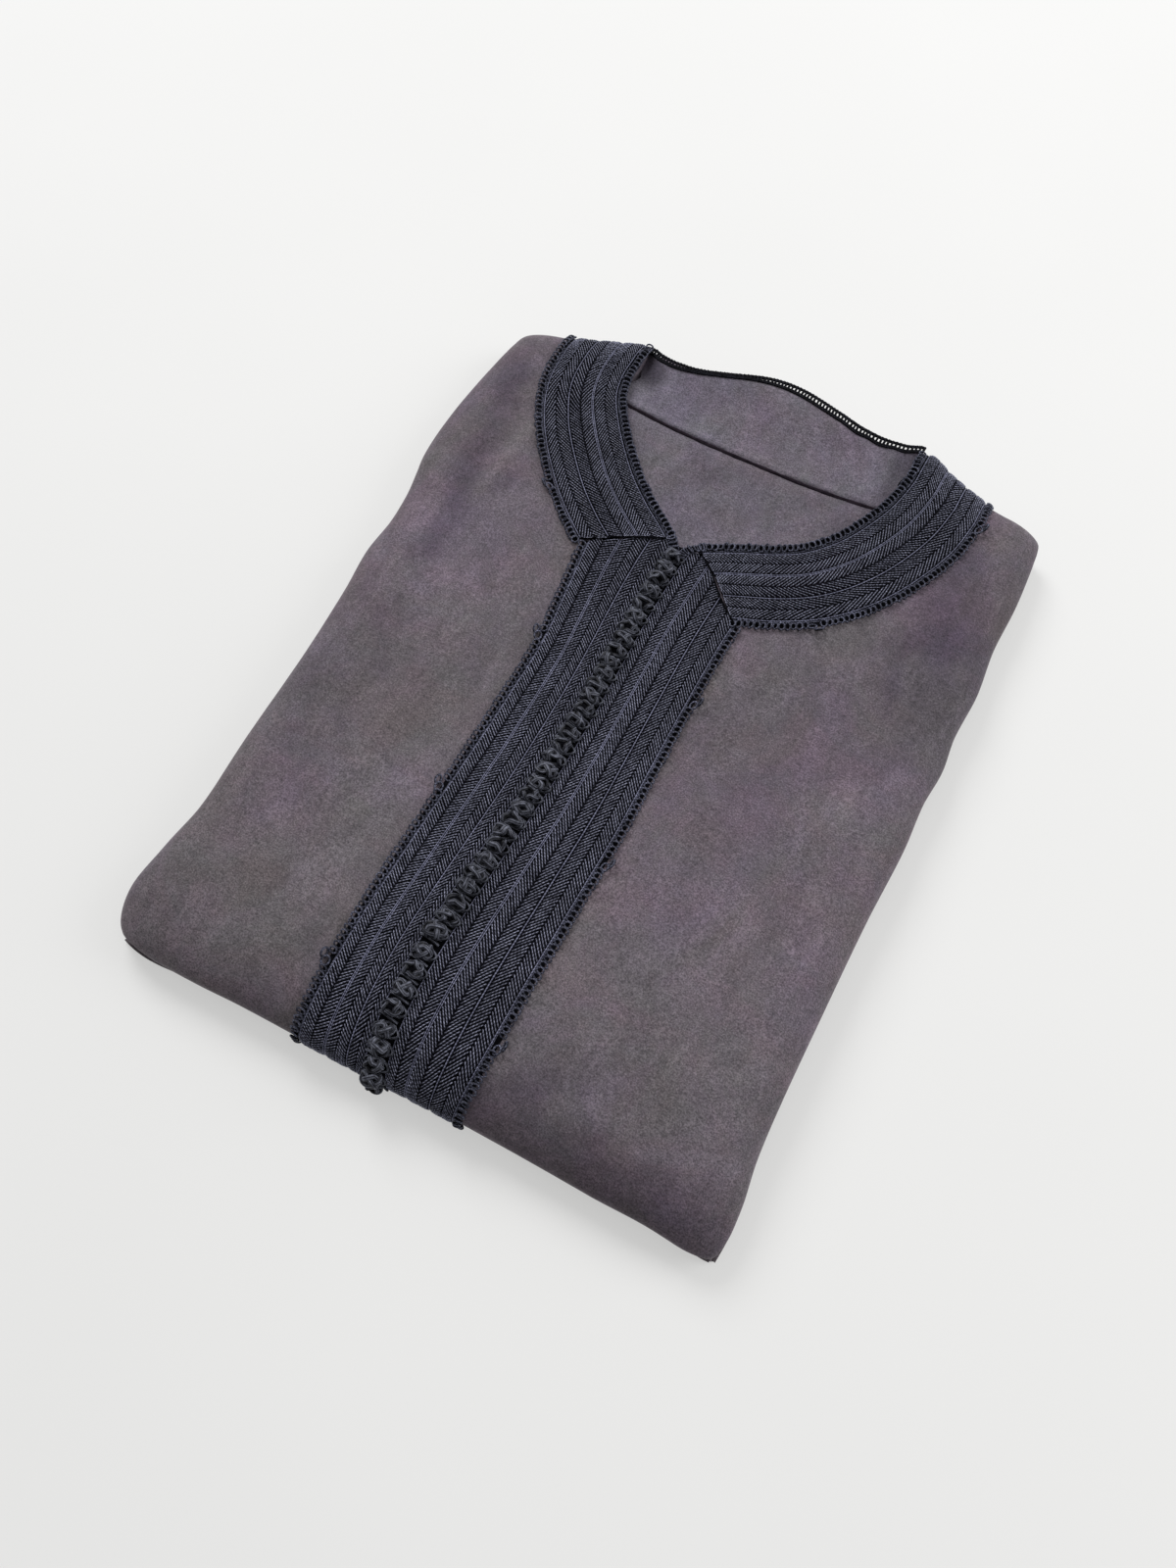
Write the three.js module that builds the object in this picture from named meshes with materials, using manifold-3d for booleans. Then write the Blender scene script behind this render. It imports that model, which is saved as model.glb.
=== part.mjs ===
// A kaftan folded flat and lying face up, in millimetres.
// +X is image right (the wearer's left), +Y runs up to the neck, +Z is up, and the garment lies on z = 0.
// Every panel, band, edging and knot is made from one surface, the upper skin of the folded garment:
// "a" and "b" are distances along the cloth across and up the garment, and "lift" is the height above the cloth.
import * as THREE from 'three';
import { mergeVertices } from 'three/addons/utils/BufferGeometryUtils.js';
import Module from 'manifold-3d';

const wasm = await Module();
wasm.setup();

// ---- Driving sizes -------------------------------------------------------------------------------
const CLOTH = 1.3;            // cloth wall
const GAP = 0.3;              // clearance at seams and between layers
const BRAID = 1.6;            // thickness of the braid bands
const EDGING = 1.4;           // thickness of the looped edging
const FLAT_X = 146;           // the side rolls start this far from the centre
const FLAT_BOTTOM = -194;     // the bottom fold's roll starts here
const FLAT_TOP = 222;         // the shoulder fold's roll starts here
const SHOULDER_ROLL = 21;     // depth of the shoulder roll in plan
const SLOPE_START = 100;      // above this the cloth tapers to the sloping shoulders
const SIDE_ARC = 47;          // cloth in a side roll
const BOTTOM_ARC = 56;        // cloth in the bottom roll
const TOP_ARC = 36;           // cloth in the shoulder roll
const SIDE_RIM = 0.42;        // height of a roll's rim, as a share of the thickness
const TOP_RIM = 0.66;         // the same for the shoulder roll, which lies on the folded skirt
const SIDE_END = 0.19;        // the front cloth ends this high at the sides and bottom, as a share of the thickness
const TOP_END = 0.49;         // and this high under the shoulder fold
const UNDER = 3;              // how far the rolls turn back in below the rim
const CORE_THIN = 2.2;        // the hidden layers lie this far below the skin
const CORE_INSET = 2.4;       // and this far inside its rim
const NECK_EDGING = 5.2;      // width of the looped edging round the neck
const OUTER_EDGING = 4.3;     // width of the looped edging outside the bands
const KNOT_COUNT = 40;
const KNOT = { across: 10.2, along: 7.7, tall: 6.6 };
const KNOT_START = 103;       // cloth position of the first knot
const KNOT_PITCH = 8.55;
const CHANNEL = 5.6;          // half width of the channel between the placket bands
const YOKE_SEAM = 192.5;

// ---- Short tables --------------------------------------------------------------------------------
// thickness of the folded garment up its length
const THICKNESS = [
  { y: -230, top: 33.5 }, { y: -120, top: 33 }, { y: 20, top: 31.8 }, { y: 130, top: 30.6 }, { y: 215, top: 28.8 }, { y: 250, top: 28.2 },
];
// plan outline of the sides at the rim
const SIDES = [
  { y: -235, left: 173, right: 172 }, { y: -200, left: 178, right: 171.5 }, { y: -175, left: 175, right: 168.5 }, { y: -145, left: 170.5, right: 167.6 },
  { y: -100, left: 172, right: 167.8 }, { y: -40, left: 172.5, right: 168.6 }, { y: 5, left: 175, right: 170.6 }, { y: 35, left: 178, right: 169.9 },
  { y: 58, left: 176.4, right: 171.8 }, { y: 80, left: 178, right: 170.2 }, { y: 112, left: 184, right: 171.8 }, { y: 150, left: 185, right: 169.8 },
  { y: 190, left: 182, right: 170.4 }, { y: 230, left: 177, right: 168 },
];
// plan outline of the bottom fold and the shoulder fold
const ENDS = [
  { x: -190, bottom: 226, top: 221 }, { x: -140, bottom: 228, top: 227 }, { x: -118, bottom: 227.4, top: 236 }, { x: -95, bottom: 226.4, top: 243 },
  { x: -40, bottom: 226.6, top: 243 }, { x: 20, bottom: 226, top: 243 }, { x: 82, bottom: 226.4, top: 243.5 }, { x: 108, bottom: 227, top: 236.5 },
  { x: 134, bottom: 226.6, top: 227.5 }, { x: 158, bottom: 228, top: 224 }, { x: 190, bottom: 229, top: 221 },
];
// corner rounding in plan: radius and how round
const CORNERS = [
  { side: -1, end: -1, radius: 30, round: 0.95 }, { side: 1, end: -1, radius: 20, round: 0.7 },
  { side: -1, end: 1, radius: 26, round: 0.8 }, { side: 1, end: 1, radius: 24, round: 0.85 },
];
// the largest folds: soft ridges (+) and troughs (-) in the top layer
const FOLDS = [
  { x1: -124, y1: 140, x2: -140, y2: 78, width: 9, rise: 1.5 }, { x1: -142, y1: 128, x2: -152, y2: 60, width: 10, rise: -1.4 },
  { x1: 124, y1: 118, x2: 131, y2: 20, width: 11, rise: -1.6 }, { x1: 141, y1: 96, x2: 139, y2: -10, width: 10, rise: 1.1 },
  { x1: -172, y1: 96, x2: -120, y2: 52, width: 16, rise: -1.5 }, { x1: -150, y1: 10, x2: -84, y2: -40, width: 20, rise: -0.9 },
  { x1: 165, y1: 62, x2: 120, y2: 66, width: 12, rise: -0.8 }, { x1: 60, y1: -205, x2: 95, y2: -170, width: 13, rise: -1.0 },
  { x1: -105, y1: -212, x2: -120, y2: -172, width: 12, rise: -1.1 }, { x1: 150, y1: -160, x2: 100, y2: -120, width: 18, rise: -0.8 },
];
// under layers that peek out below the front at the corners
const TIPS = [
  { x: -157, y: -224, reach: 3.8, spread: 24 }, { x: 166, y: -226, reach: 3.4, spread: 12 }, { x: 172, y: -205, reach: 3, spread: 14 },
  { x: -160, y: 226, reach: 3, spread: 16 },
];
// neck edge (outer edge of the looped edging) from the front point to the shoulder, and the whole collar's width there
const NECK_RIGHT = [
  { x: -13.2, y: 112, width: 56 }, { x: -26.6, y: 124, width: 56 }, { x: -40.3, y: 134.6, width: 56 }, { x: -55.6, y: 148.7, width: 56 },
  { x: -71.3, y: 167.1, width: 56 }, { x: -82.2, y: 182, width: 55.5 }, { x: -90.5, y: 196, width: 53.5 }, { x: -94.3, y: 210, width: 51 },
  { x: -95.4, y: 224, width: 49 }, { x: -95.6, y: 240, width: 48.5 },
];
const NECK_LEFT = [
  { x: -9.4, y: 113.5, width: 54 }, { x: 2, y: 122, width: 55 }, { x: 17, y: 130, width: 56 }, { x: 35, y: 138.6, width: 56.5 },
  { x: 48.9, y: 148.2, width: 56.5 }, { x: 63.3, y: 165.6, width: 56 }, { x: 75.7, y: 191.4, width: 55.5 }, { x: 81.4, y: 214.8, width: 54 },
  { x: 82.4, y: 228, width: 53 }, { x: 82.6, y: 242, width: 52.5 },
];
// mitre seams, from the neck side to the outer side
const MITRE_RIGHT = { x1: -17, y1: 116.5, x2: -66.5, y2: 89.5 };
const MITRE_LEFT = { x1: -4, y1: 116, x2: 38.3, y2: 76 };
// placket bands: outer edges and the middle of the knot column
const PLACKET = [
  { y: -260, outerRight: -57, middle: -12, outerLeft: 30 }, { y: -228, outerRight: -57.5, middle: -14, outerLeft: 30.5 },
  { y: -190, outerRight: -57.5, middle: -18.5, outerLeft: 32 }, { y: -150, outerRight: -57, middle: -18.5, outerLeft: 33 },
  { y: -100, outerRight: -55.5, middle: -15.5, outerLeft: 34.5 }, { y: -60, outerRight: -54, middle: -13, outerLeft: 35.5 },
  { y: -20, outerRight: -53, middle: -12.2, outerLeft: 34.8 }, { y: 20, outerRight: -53, middle: -13, outerLeft: 34.5 },
  { y: 60, outerRight: -57.5, middle: -14, outerLeft: 35 }, { y: 92, outerRight: -61.5, middle: -13.6, outerLeft: 37 },
  { y: 118, outerRight: -64, middle: -12.2, outerLeft: 38.5 },
];
// back neck edge, seen inside the neck
const BACK_NECK = [
  { x: -95, y: 237.5 }, { x: -88, y: 234.5 }, { x: -77, y: 232.5 }, { x: -62, y: 234.5 }, { x: -45, y: 239.5 }, { x: -28, y: 245.2 },
  { x: -10, y: 247.8 }, { x: 10, y: 246 }, { x: 30, y: 241 }, { x: 48, y: 236.4 }, { x: 62, y: 234.2 }, { x: 73, y: 235 }, { x: 82, y: 238 },
];
// folded edges of the hidden layers: height as a share of the thickness, and how far in from the rim
const SIDE_LAYERS = [{ g: 0.165, inset: 6 }, { g: 0.14, inset: 4.4, tip: 1 }, { g: 0.075, inset: 3, tip: 1 }, { g: 0, inset: 4, tip: 1 }];
const TOP_LAYERS = [
  { g: 0.455, inset: 7.5 }, { g: 0.43, inset: 4.6, tip: 1 }, { g: 0.34, inset: 3, tip: 1 }, { g: 0.255, inset: 4.4, tip: 1 }, { g: 0.235, inset: 7 },
  { g: 0.215, inset: 4.2 }, { g: 0.11, inset: 1.8 }, { g: 0.02, inset: 3.4 }, { g: 0, inset: 4 },
];

// ---- Interpolation -------------------------------------------------------------------------------
const clamp = (v, lo, hi) => Math.min(hi, Math.max(lo, v));
const smooth = (t) => { const u = clamp(t, 0, 1); return u * u * (3 - 2 * u); };
const mix = (p, q, t) => p + (q - p) * t;

/** A column of a table at v, on a smooth curve through the rows. */
function lookup(table, key, column, v) {
  const n = table.length;
  if (v <= table[0][key]) return table[0][column];
  if (v >= table[n - 1][key]) return table[n - 1][column];
  let i = 0;
  while (table[i + 1][key] < v) i += 1;
  const slope = (k) => {
    const lo = Math.max(k - 1, 0), hi = Math.min(k + 1, n - 1);
    return (table[hi][column] - table[lo][column]) / (table[hi][key] - table[lo][key]);
  };
  const h = table[i + 1][key] - table[i][key], t = (v - table[i][key]) / h;
  const p = table[i][column], q = table[i + 1][column], mp = slope(i) * h, mq = slope(i + 1) * h;
  return (2 * t ** 3 - 3 * t ** 2 + 1) * p + (t ** 3 - 2 * t ** 2 + t) * mp + (3 * t ** 2 - 2 * t ** 3) * q + (t ** 3 - t ** 2) * mq;
}

// ---- The skin of the folded garment ----------------------------------------------------------------
/** Height of the top layer at a plan point, away from the rolls. */
function topHeight(x, y, core = false) {
  let z = lookup(THICKNESS, 'y', 'top', y) - 1.2 * (x / 170) ** 4;
  z -= 2.6 * Math.exp(-(((x + 6) / 112) ** 4) - ((y - 205) / 88) ** 4);
  for (const f of FOLDS) {
    if (core && f.rise > 0) continue;      // the hidden layers follow the troughs only
    const dx = f.x2 - f.x1, dy = f.y2 - f.y1, len2 = dx * dx + dy * dy;
    const t = ((x - f.x1) * dx + (y - f.y1) * dy) / len2, u = clamp(t, 0, 1);
    const d2 = (x - f.x1 - u * dx) ** 2 + (y - f.y1 - u * dy) ** 2;
    const width = f.width * (core ? 1.6 : 1);
    z += (core ? 1.2 : 1) * f.rise * Math.exp(-d2 / (width * width)) * (0.55 + 0.45 * Math.sin(Math.PI * u));
  }
  return z;
}

/** A roll's profile: how far out (0 to 1) and how high (1 to 0) at a share t of its cloth. */
function roll(t, rim, share) {
  if (t <= 0) return { out: 0, g: 1, turn: 0 };
  if (t < share) {
    const q = (t / share) * Math.PI / 2;
    return { out: Math.sin(q), g: rim + (1 - rim) * Math.cos(q), turn: 0 };
  }
  const s = (t - share) / (1 - share);
  return { out: 1, g: rim * (1 - s), turn: s * s };
}

/** A point of the skin at cloth position (a, b). The hidden layers use the same point, thinner and inset. */
function skin(a, b, core = null) {
  const s = a < 0 ? -1 : 1;
  const thin = core ? CORE_THIN : 0, inset = core ? CORE_INSET : 0;
  const side = core && core.side ? { out: 1, g: core.side.g, turn: 0 } : roll((Math.abs(a) - FLAT_X) / SIDE_ARC, SIDE_RIM, 0.75);
  let end;
  if (core && core.end) end = { out: 1, g: core.end.g, turn: 0 };
  else if (b < FLAT_BOTTOM) end = roll((FLAT_BOTTOM - b) / BOTTOM_ARC, SIDE_RIM, 0.76);
  else end = roll((b - FLAT_TOP) / TOP_ARC, TOP_RIM, 0.72);
  const top = b > 0;
  // plan position before the corners are rounded
  const yGuess = clamp(b, -228, 240);
  let edgeX = lookup(SIDES, 'y', s < 0 ? 'left' : 'right', yGuess);
  // the folded edges of the hidden layers die out towards the corners
  let sideInset = core && core.side ? core.side.inset : inset;
  let endInset = core && core.end ? core.end.inset : inset;
  if (core) {
    sideInset = mix(SIDE_LAYERS[3].inset, sideInset, smooth(end.g / 0.3));
    endInset = mix(SIDE_LAYERS[3].inset, endInset, smooth(side.g / 0.3));
  }
  let x = Math.abs(a) <= FLAT_X ? a : s * (FLAT_X + (edgeX - FLAT_X - sideInset) * side.out - UNDER * side.turn);
  const xe = clamp(x, -185, 185);
  const edgeB = lookup(ENDS, 'x', 'bottom', xe), edgeT = lookup(ENDS, 'x', 'top', xe);
  const topStart = edgeT - SHOULDER_ROLL;
  const stretch = (v) => (v <= SLOPE_START ? v : SLOPE_START + (v - SLOPE_START) * (topStart - SLOPE_START) / (FLAT_TOP - SLOPE_START));
  let y;
  if (b < FLAT_BOTTOM || (core && core.end && !top)) y = FLAT_BOTTOM - (edgeB + FLAT_BOTTOM - endInset) * end.out + UNDER * end.turn;
  else if (b <= FLAT_TOP && !(core && core.end)) y = stretch(b);
  else y = topStart + (SHOULDER_ROLL - endInset) * end.out - UNDER * 1.4 * end.turn;
  // rounded corners
  const c = CORNERS.find((r) => r.side === s && r.end === (top ? 1 : -1));
  const limX = edgeX - sideInset, limY = (top ? edgeT : edgeB) - endInset, ys = top ? 1 : -1;
  const i = clamp((Math.abs(x) - (limX - c.radius)) / c.radius, 0, 1), j = clamp((ys * y - (limY - c.radius)) / c.radius, 0, 1);
  if (i > 0 && j > 0) {
    x = s * (Math.abs(x) - c.radius * i * (1 - Math.sqrt(1 - c.round * j * j / 2)));
    y = ys * (ys * y - c.radius * j * (1 - Math.sqrt(1 - c.round * i * i / 2)));
  }
  // under layers that stick out
  const tip = Math.max((core && core.side && core.side.tip) || 0, (core && core.end && core.end.tip) || 0);
  if (tip > 0) {
    for (const t of TIPS) {
      const d = Math.hypot(x - t.x, y - t.y), push = tip * t.reach * Math.exp(-((d / t.spread) ** 2));
      const away = Math.hypot(x, y * 0.75) || 1;
      x += push * x / away; y += push * y * 0.75 / away;
    }
  }
  const z = (topHeight(x, y, core !== null) - thin) * side.g * end.g;
  return new THREE.Vector3(x, y, z);
}

/** Outward direction of a surface at (a, b). */
function outward(surface, a, b) {
  const h = 0.4;
  const du = surface(a + h, b).sub(surface(a - h, b)), dv = surface(a, b + h).sub(surface(a, b - h));
  const n = du.cross(dv).normalize();
  return n;
}
const lifted = (surface, a, b, lift) => surface(a, b).addScaledVector(outward(surface, a, b), lift);

/** The cloth position b whose skin point has this plan y, at cloth position a. */
function clothY(a, y) {
  let lo = -215, hi = FLAT_TOP + TOP_ARC * 0.71;
  for (let k = 0; k < 40; k += 1) {
    const m = (lo + hi) / 2;
    if (skin(a, m).y < y) lo = m; else hi = m;
  }
  return (lo + hi) / 2;
}

// the inside of the back: sags in the neck opening and rises to the back neck edge
function backHeight(x, y) {
  return 22.6 + 4.6 * smooth((y - 206) / 38) + 0.9 * ((x + 6) / 90) ** 2 - 0.5 * smooth((150 - y) / 40);
}
const backSurface = (x, y) => new THREE.Vector3(x, y, backHeight(x, y));

// ---- Solids from grids -----------------------------------------------------------------------------
const spread = (from, to, count) => Array.from({ length: count + 1 }, (_, i) => mix(from, to, i / count));

/** A closed solid between two grids of points with the same rows and columns. */
function closed(outer, inner) {
  const rows = outer.length, cols = outer[0].length, position = [], index = [];
  for (const grid of [outer, inner]) for (const row of grid) for (const p of row) position.push(p.x, p.y, p.z);
  const at = (k, r, c) => k * rows * cols + r * cols + c;
  const quad = (p, q, r, s) => index.push(p, q, r, p, r, s);
  for (let r = 0; r + 1 < rows; r += 1) {
    for (let c = 0; c + 1 < cols; c += 1) {
      quad(at(0, r, c), at(0, r, c + 1), at(0, r + 1, c + 1), at(0, r + 1, c));
      quad(at(1, r, c), at(1, r + 1, c), at(1, r + 1, c + 1), at(1, r, c + 1));
    }
  }
  for (let c = 0; c + 1 < cols; c += 1) {
    quad(at(1, 0, c), at(1, 0, c + 1), at(0, 0, c + 1), at(0, 0, c));
    quad(at(0, rows - 1, c), at(0, rows - 1, c + 1), at(1, rows - 1, c + 1), at(1, rows - 1, c));
  }
  for (let r = 0; r + 1 < rows; r += 1) {
    quad(at(0, r, 0), at(0, r + 1, 0), at(1, r + 1, 0), at(1, r, 0));
    quad(at(1, r, cols - 1), at(1, r + 1, cols - 1), at(0, r + 1, cols - 1), at(0, r, cols - 1));
  }
  return finished(position, index);
}

/** Merges shared points, drops collapsed triangles and turns the faces outward. */
function finished(position, index) {
  let g = new THREE.BufferGeometry();
  g.setAttribute('position', new THREE.Float32BufferAttribute(position, 3));
  g.setIndex(index);
  g = mergeVertices(g, 1e-3);
  const p = g.attributes.position, src = g.index.array, out = [];
  const v = [new THREE.Vector3(), new THREE.Vector3(), new THREE.Vector3()];
  let volume = 0;
  for (let i = 0; i < src.length; i += 3) {
    if (src[i] === src[i + 1] || src[i + 1] === src[i + 2] || src[i] === src[i + 2]) continue;
    v.forEach((w, k) => w.fromBufferAttribute(p, src[i + k]));
    volume += v[0].dot(v[1].clone().cross(v[2])) / 6;
    out.push(src[i], src[i + 1], src[i + 2]);
  }
  if (volume < 0) for (let i = 0; i < out.length; i += 3) [out[i + 1], out[i + 2]] = [out[i + 2], out[i + 1]];
  g.setIndex(out);
  g.computeVertexNormals();
  return g;
}

/** A wall of cloth or braid on a surface, over a grid of [a, b] positions. */
function wall(surface, grid, low, high) {
  const layer = (lift) => grid.map((row) => row.map(([a, b]) => lifted(surface, a, b, lift)));
  return closed(layer(high), layer(low));
}

function toManifold(geometry) {
  return new wasm.Manifold(new wasm.Mesh({
    numProp: 3, vertProperties: new Float32Array(geometry.attributes.position.array), triVerts: new Uint32Array(geometry.index.array),
  }));
}
function fromManifold(solid) {
  const m = solid.getMesh(), position = [];
  for (let i = 0; i < m.vertProperties.length; i += m.numProp) position.push(m.vertProperties[i], m.vertProperties[i + 1], m.vertProperties[i + 2]);
  return finished(position, Array.from(m.triVerts));
}

// ---- Neck and collar curves --------------------------------------------------------------------------
/** A smooth curve through the rows of a neck table, measured along its length. */
function neckCurve(table, outwardSide) {
  const dense = [];
  for (let i = 0; i + 1 < table.length; i += 1) {
    const p0 = table[Math.max(i - 1, 0)], p1 = table[i], p2 = table[i + 1], p3 = table[Math.min(i + 2, table.length - 1)];
    for (let k = 0; k < 10; k += 1) {
      const t = k / 10, c = (key) => 0.5 * (2 * p1[key] + (p2[key] - p0[key]) * t + (2 * p0[key] - 5 * p1[key] + 4 * p2[key] - p3[key]) * t * t
        + (3 * p1[key] - p0[key] - 3 * p2[key] + p3[key]) * t ** 3);
      dense.push({ x: c('x'), y: c('y'), width: c('width') });
    }
  }
  dense.push({ ...table[table.length - 1] });
  let s = 0;
  dense.forEach((p, i) => { if (i) s += Math.hypot(p.x - dense[i - 1].x, p.y - dense[i - 1].y); p.s = s; });
  const at = (v) => {
    const q = clamp(v, 0, s);
    let i = 0;
    while (i < dense.length - 2 && dense[i + 1].s < q) i += 1;
    const t = (q - dense[i].s) / (dense[i + 1].s - dense[i].s || 1);
    return { x: mix(dense[i].x, dense[i + 1].x, t), y: mix(dense[i].y, dense[i + 1].y, t), width: mix(dense[i].width, dense[i + 1].width, t) };
  };
  /** The plan point w outward of the neck edge, where w counts from 0 at the neck edge to `width` at the collar's outer edge. */
  const point = (v, w, fromOuter = false) => {
    const p = at(v), q0 = at(v - 3), q1 = at(v + 3), len = Math.hypot(q1.x - q0.x, q1.y - q0.y);
    const tx = (q1.x - q0.x) / len, ty = (q1.y - q0.y) / len, d = fromOuter ? p.width - w : w;
    return { x: p.x - ty * d * outwardSide, y: p.y + tx * d * outwardSide };
  };
  return { length: s, point };
}
const neckRight = neckCurve(NECK_RIGHT, 1);
const neckLeft = neckCurve(NECK_LEFT, -1);

/** Where an offset line of the collar crosses the mitre seam, as a length along the neck curve. */
function mitreStart(curve, mitre, w, fromOuter, clear) {
  const nx = -(mitre.y2 - mitre.y1), ny = mitre.x2 - mitre.x1, len = Math.hypot(nx, ny);
  const shoulder = curve.point(curve.length, w, fromOuter);
  const sign = Math.sign((shoulder.x - mitre.x1) * nx + (shoulder.y - mitre.y1) * ny);
  const beyond = (s) => { const p = curve.point(s, w, fromOuter); return sign * ((p.x - mitre.x1) * nx + (p.y - mitre.y1) * ny) / len - clear; };
  let lo = -0.01, hi = curve.length * 0.6;
  if (beyond(0) > 0) return 0;
  for (let k = 0; k < 40; k += 1) { const m = (lo + hi) / 2; if (beyond(m) < 0) lo = m; else hi = m; }
  return (lo + hi) / 2;
}

/** A strip of the collar between two offsets from the neck edge, from the mitre over the shoulder fold. */
function collarStrip(curve, mitre, from, to, along, across, wrap) {
  const grid = [];
  const w = spread(0, 1, across);
  const lines = w.map((t) => {
    const pick = (s) => { const p = curve.point(s, from.w, from.outer), q = curve.point(s, to.w, to.outer); return { x: mix(p.x, q.x, t), y: mix(p.y, q.y, t) }; };
    const lo = mitreStart(curve, mitre, from.w, from.outer, GAP / 2), hi = mitreStart(curve, mitre, to.w, to.outer, GAP / 2);
    const start = mix(lo, hi, t);
    // the strip leaves the plan curve where the shoulder roll begins, and then follows the cloth over the fold
    let stop = curve.length;
    for (let k = 0; k < 200; k += 1) { const p = pick(stop); if (clothY(p.x, p.y) <= FLAT_TOP - 2) break; stop -= 0.5; }
    return { pick, start, stop };
  });
  for (let r = 0; r <= along; r += 1) {
    grid.push(lines.map(({ pick, start, stop }) => { const p = pick(mix(start, stop, r / along)); return [p.x, clothY(p.x, p.y)]; }));
  }
  const last = grid[along];
  for (const b of wrap) grid.push(last.map(([a]) => [a, b]));
  return grid;
}

// ---- Parts -----------------------------------------------------------------------------------------
const garment = new THREE.Group();
const CLOTH_LOOK = { color: 0x625a62, roughness: 0.85, metalness: 0 };
const BRAID_LOOK = { color: 0x3a3a47, roughness: 0.7, metalness: 0 };
const CORD_LOOK = { color: 0x26262e, roughness: 0.75, metalness: 0 };
const KNOT_LOOK = { color: 0x2b2c30, roughness: 0.7, metalness: 0 };
function add(name, geometry, look) {
  const mesh = new THREE.Mesh(geometry, new THREE.MeshStandardMaterial(look));
  mesh.name = name;
  garment.add(mesh);
  return mesh;
}

// cloth stations shared by the fronts and the hidden layers
const endShare = (rim, share, height) => share + (1 - share) * (1 - height / rim);
const SIDE_STATIONS = [0.14, 0.3, 0.46, 0.62, 0.75, endShare(SIDE_RIM, 0.75, SIDE_END)].map((t) => FLAT_X + SIDE_ARC * t);
const BOTTOM_STATIONS = [0.12, 0.26, 0.4, 0.54, 0.66, 0.76, endShare(SIDE_RIM, 0.76, SIDE_END)].map((t) => FLAT_BOTTOM - BOTTOM_ARC * t);
const TOP_STATIONS = [0.18, 0.38, 0.56, 0.72, endShare(TOP_RIM, 0.72, TOP_END)].map((t) => FLAT_TOP + TOP_ARC * t);
const FLAT_ROWS = [-194, -172, -150, -128, -104, -80, -56, -30, -4, 22, 46, 68, 88, 104, 118, 132, 146, 160, 174, 188, 202, 213, 222];
const ROWS = [...BOTTOM_STATIONS.slice().reverse(), ...FLAT_ROWS, ...TOP_STATIONS];

/** Where the front cloth ends at its inner edge for a row: the centre front, and above it the neck. */
function innerEdge(curve, s, b) {
  const y = b;
  const centre = lookup(PLACKET, 'y', 'middle', y) + s * GAP / 2;
  let lo = 0, hi = curve.length;
  if (curve.point(0, NECK_EDGING).y > y) return centre;
  for (let k = 0; k < 40; k += 1) { const m = (lo + hi) / 2; if (curve.point(m, NECK_EDGING).y < y) lo = m; else hi = m; }
  const x = curve.point((lo + hi) / 2, NECK_EDGING).x;
  return s < 0 ? Math.min(x, centre) : Math.max(x, centre);
}

/** One front: from the centre front and the neck out over the side roll, the bottom fold and the shoulder fold. */
function front(curve, s) {
  const grid = ROWS.map((b) => {
    const inner = innerEdge(curve, s, Math.min(b, 236));
    const flat = [0, 0.17, 0.34, 0.5, 0.66, 0.83, 1].map((t) => mix(inner, s * FLAT_X, t));
    return [...flat, ...SIDE_STATIONS.map((v) => s * v)].map((a) => [a, b]);
  });
  return wall(skin, grid, -CLOTH, 0);
}
add('front_right', front(neckRight, -1), CLOTH_LOOK);
add('front_left', front(neckLeft, 1), CLOTH_LOOK);

// hidden layers: one rounded solid under the skin, with folded edges, a flat underside and a hollow under the neck
const acrossCore = [];
for (const s of [-1, 1]) {
  const side = [...SIDE_STATIONS.slice(0, 5).map((v) => ({ a: s * v })), ...SIDE_LAYERS.map((row) => ({ a: s * (FLAT_X + SIDE_ARC), side: row }))];
  acrossCore.push(s < 0 ? side.reverse() : side);
}
const flatCore = [-146, -134, -122, -110, -97, -70, -40, -10, 20, 55, 84, 98, 110, 122, 134, 146].map((a) => ({ a }));
const CORE_COLUMNS = [...acrossCore[0], ...flatCore, ...acrossCore[1]];
const coreBottom = [...SIDE_LAYERS].reverse().map((row) => ({ b: FLAT_BOTTOM - BOTTOM_ARC, end: row }));
const coreTop = TOP_LAYERS.map((row) => ({ b: FLAT_TOP + TOP_ARC, end: row }));
const CORE_ROWS = [...coreBottom, ...BOTTOM_STATIONS.slice(0, 6).reverse().map((b) => ({ b })),
  ...FLAT_ROWS.map((b) => ({ b })), ...TOP_STATIONS.slice(0, 4).map((b) => ({ b })), ...coreTop];
function hiddenLayers() {
  const topGrid = CORE_ROWS.map((r) => CORE_COLUMNS.map((c) => skin(c.a, r.b, { side: c.side, end: r.end })));
  const rows = topGrid.length, cols = topGrid[0].length, position = [], index = [];
  for (const row of topGrid) for (const p of row) position.push(p.x, p.y, Math.max(p.z, 0));
  for (let r = 0; r + 1 < rows; r += 1) {
    for (let c = 0; c + 1 < cols; c += 1) {
      const p = r * cols + c, q = p + 1, u = p + cols, v = u + 1;
      index.push(p, q, v, p, v, u);
    }
  }
  // flat underside inside the border of the grid
  const border = [];
  for (let c = 0; c < cols; c += 1) border.push(c);
  for (let r = 1; r < rows; r += 1) border.push(r * cols + cols - 1);
  for (let c = cols - 2; c >= 0; c -= 1) border.push((rows - 1) * cols + c);
  for (let r = rows - 2; r > 0; r -= 1) border.push(r * cols);
  const hub = position.length / 3;
  position.push(0, 0, 0);
  border.forEach((p, i) => index.push(border[(i + 1) % border.length], p, hub));
  return finished(position, index);
}

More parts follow.
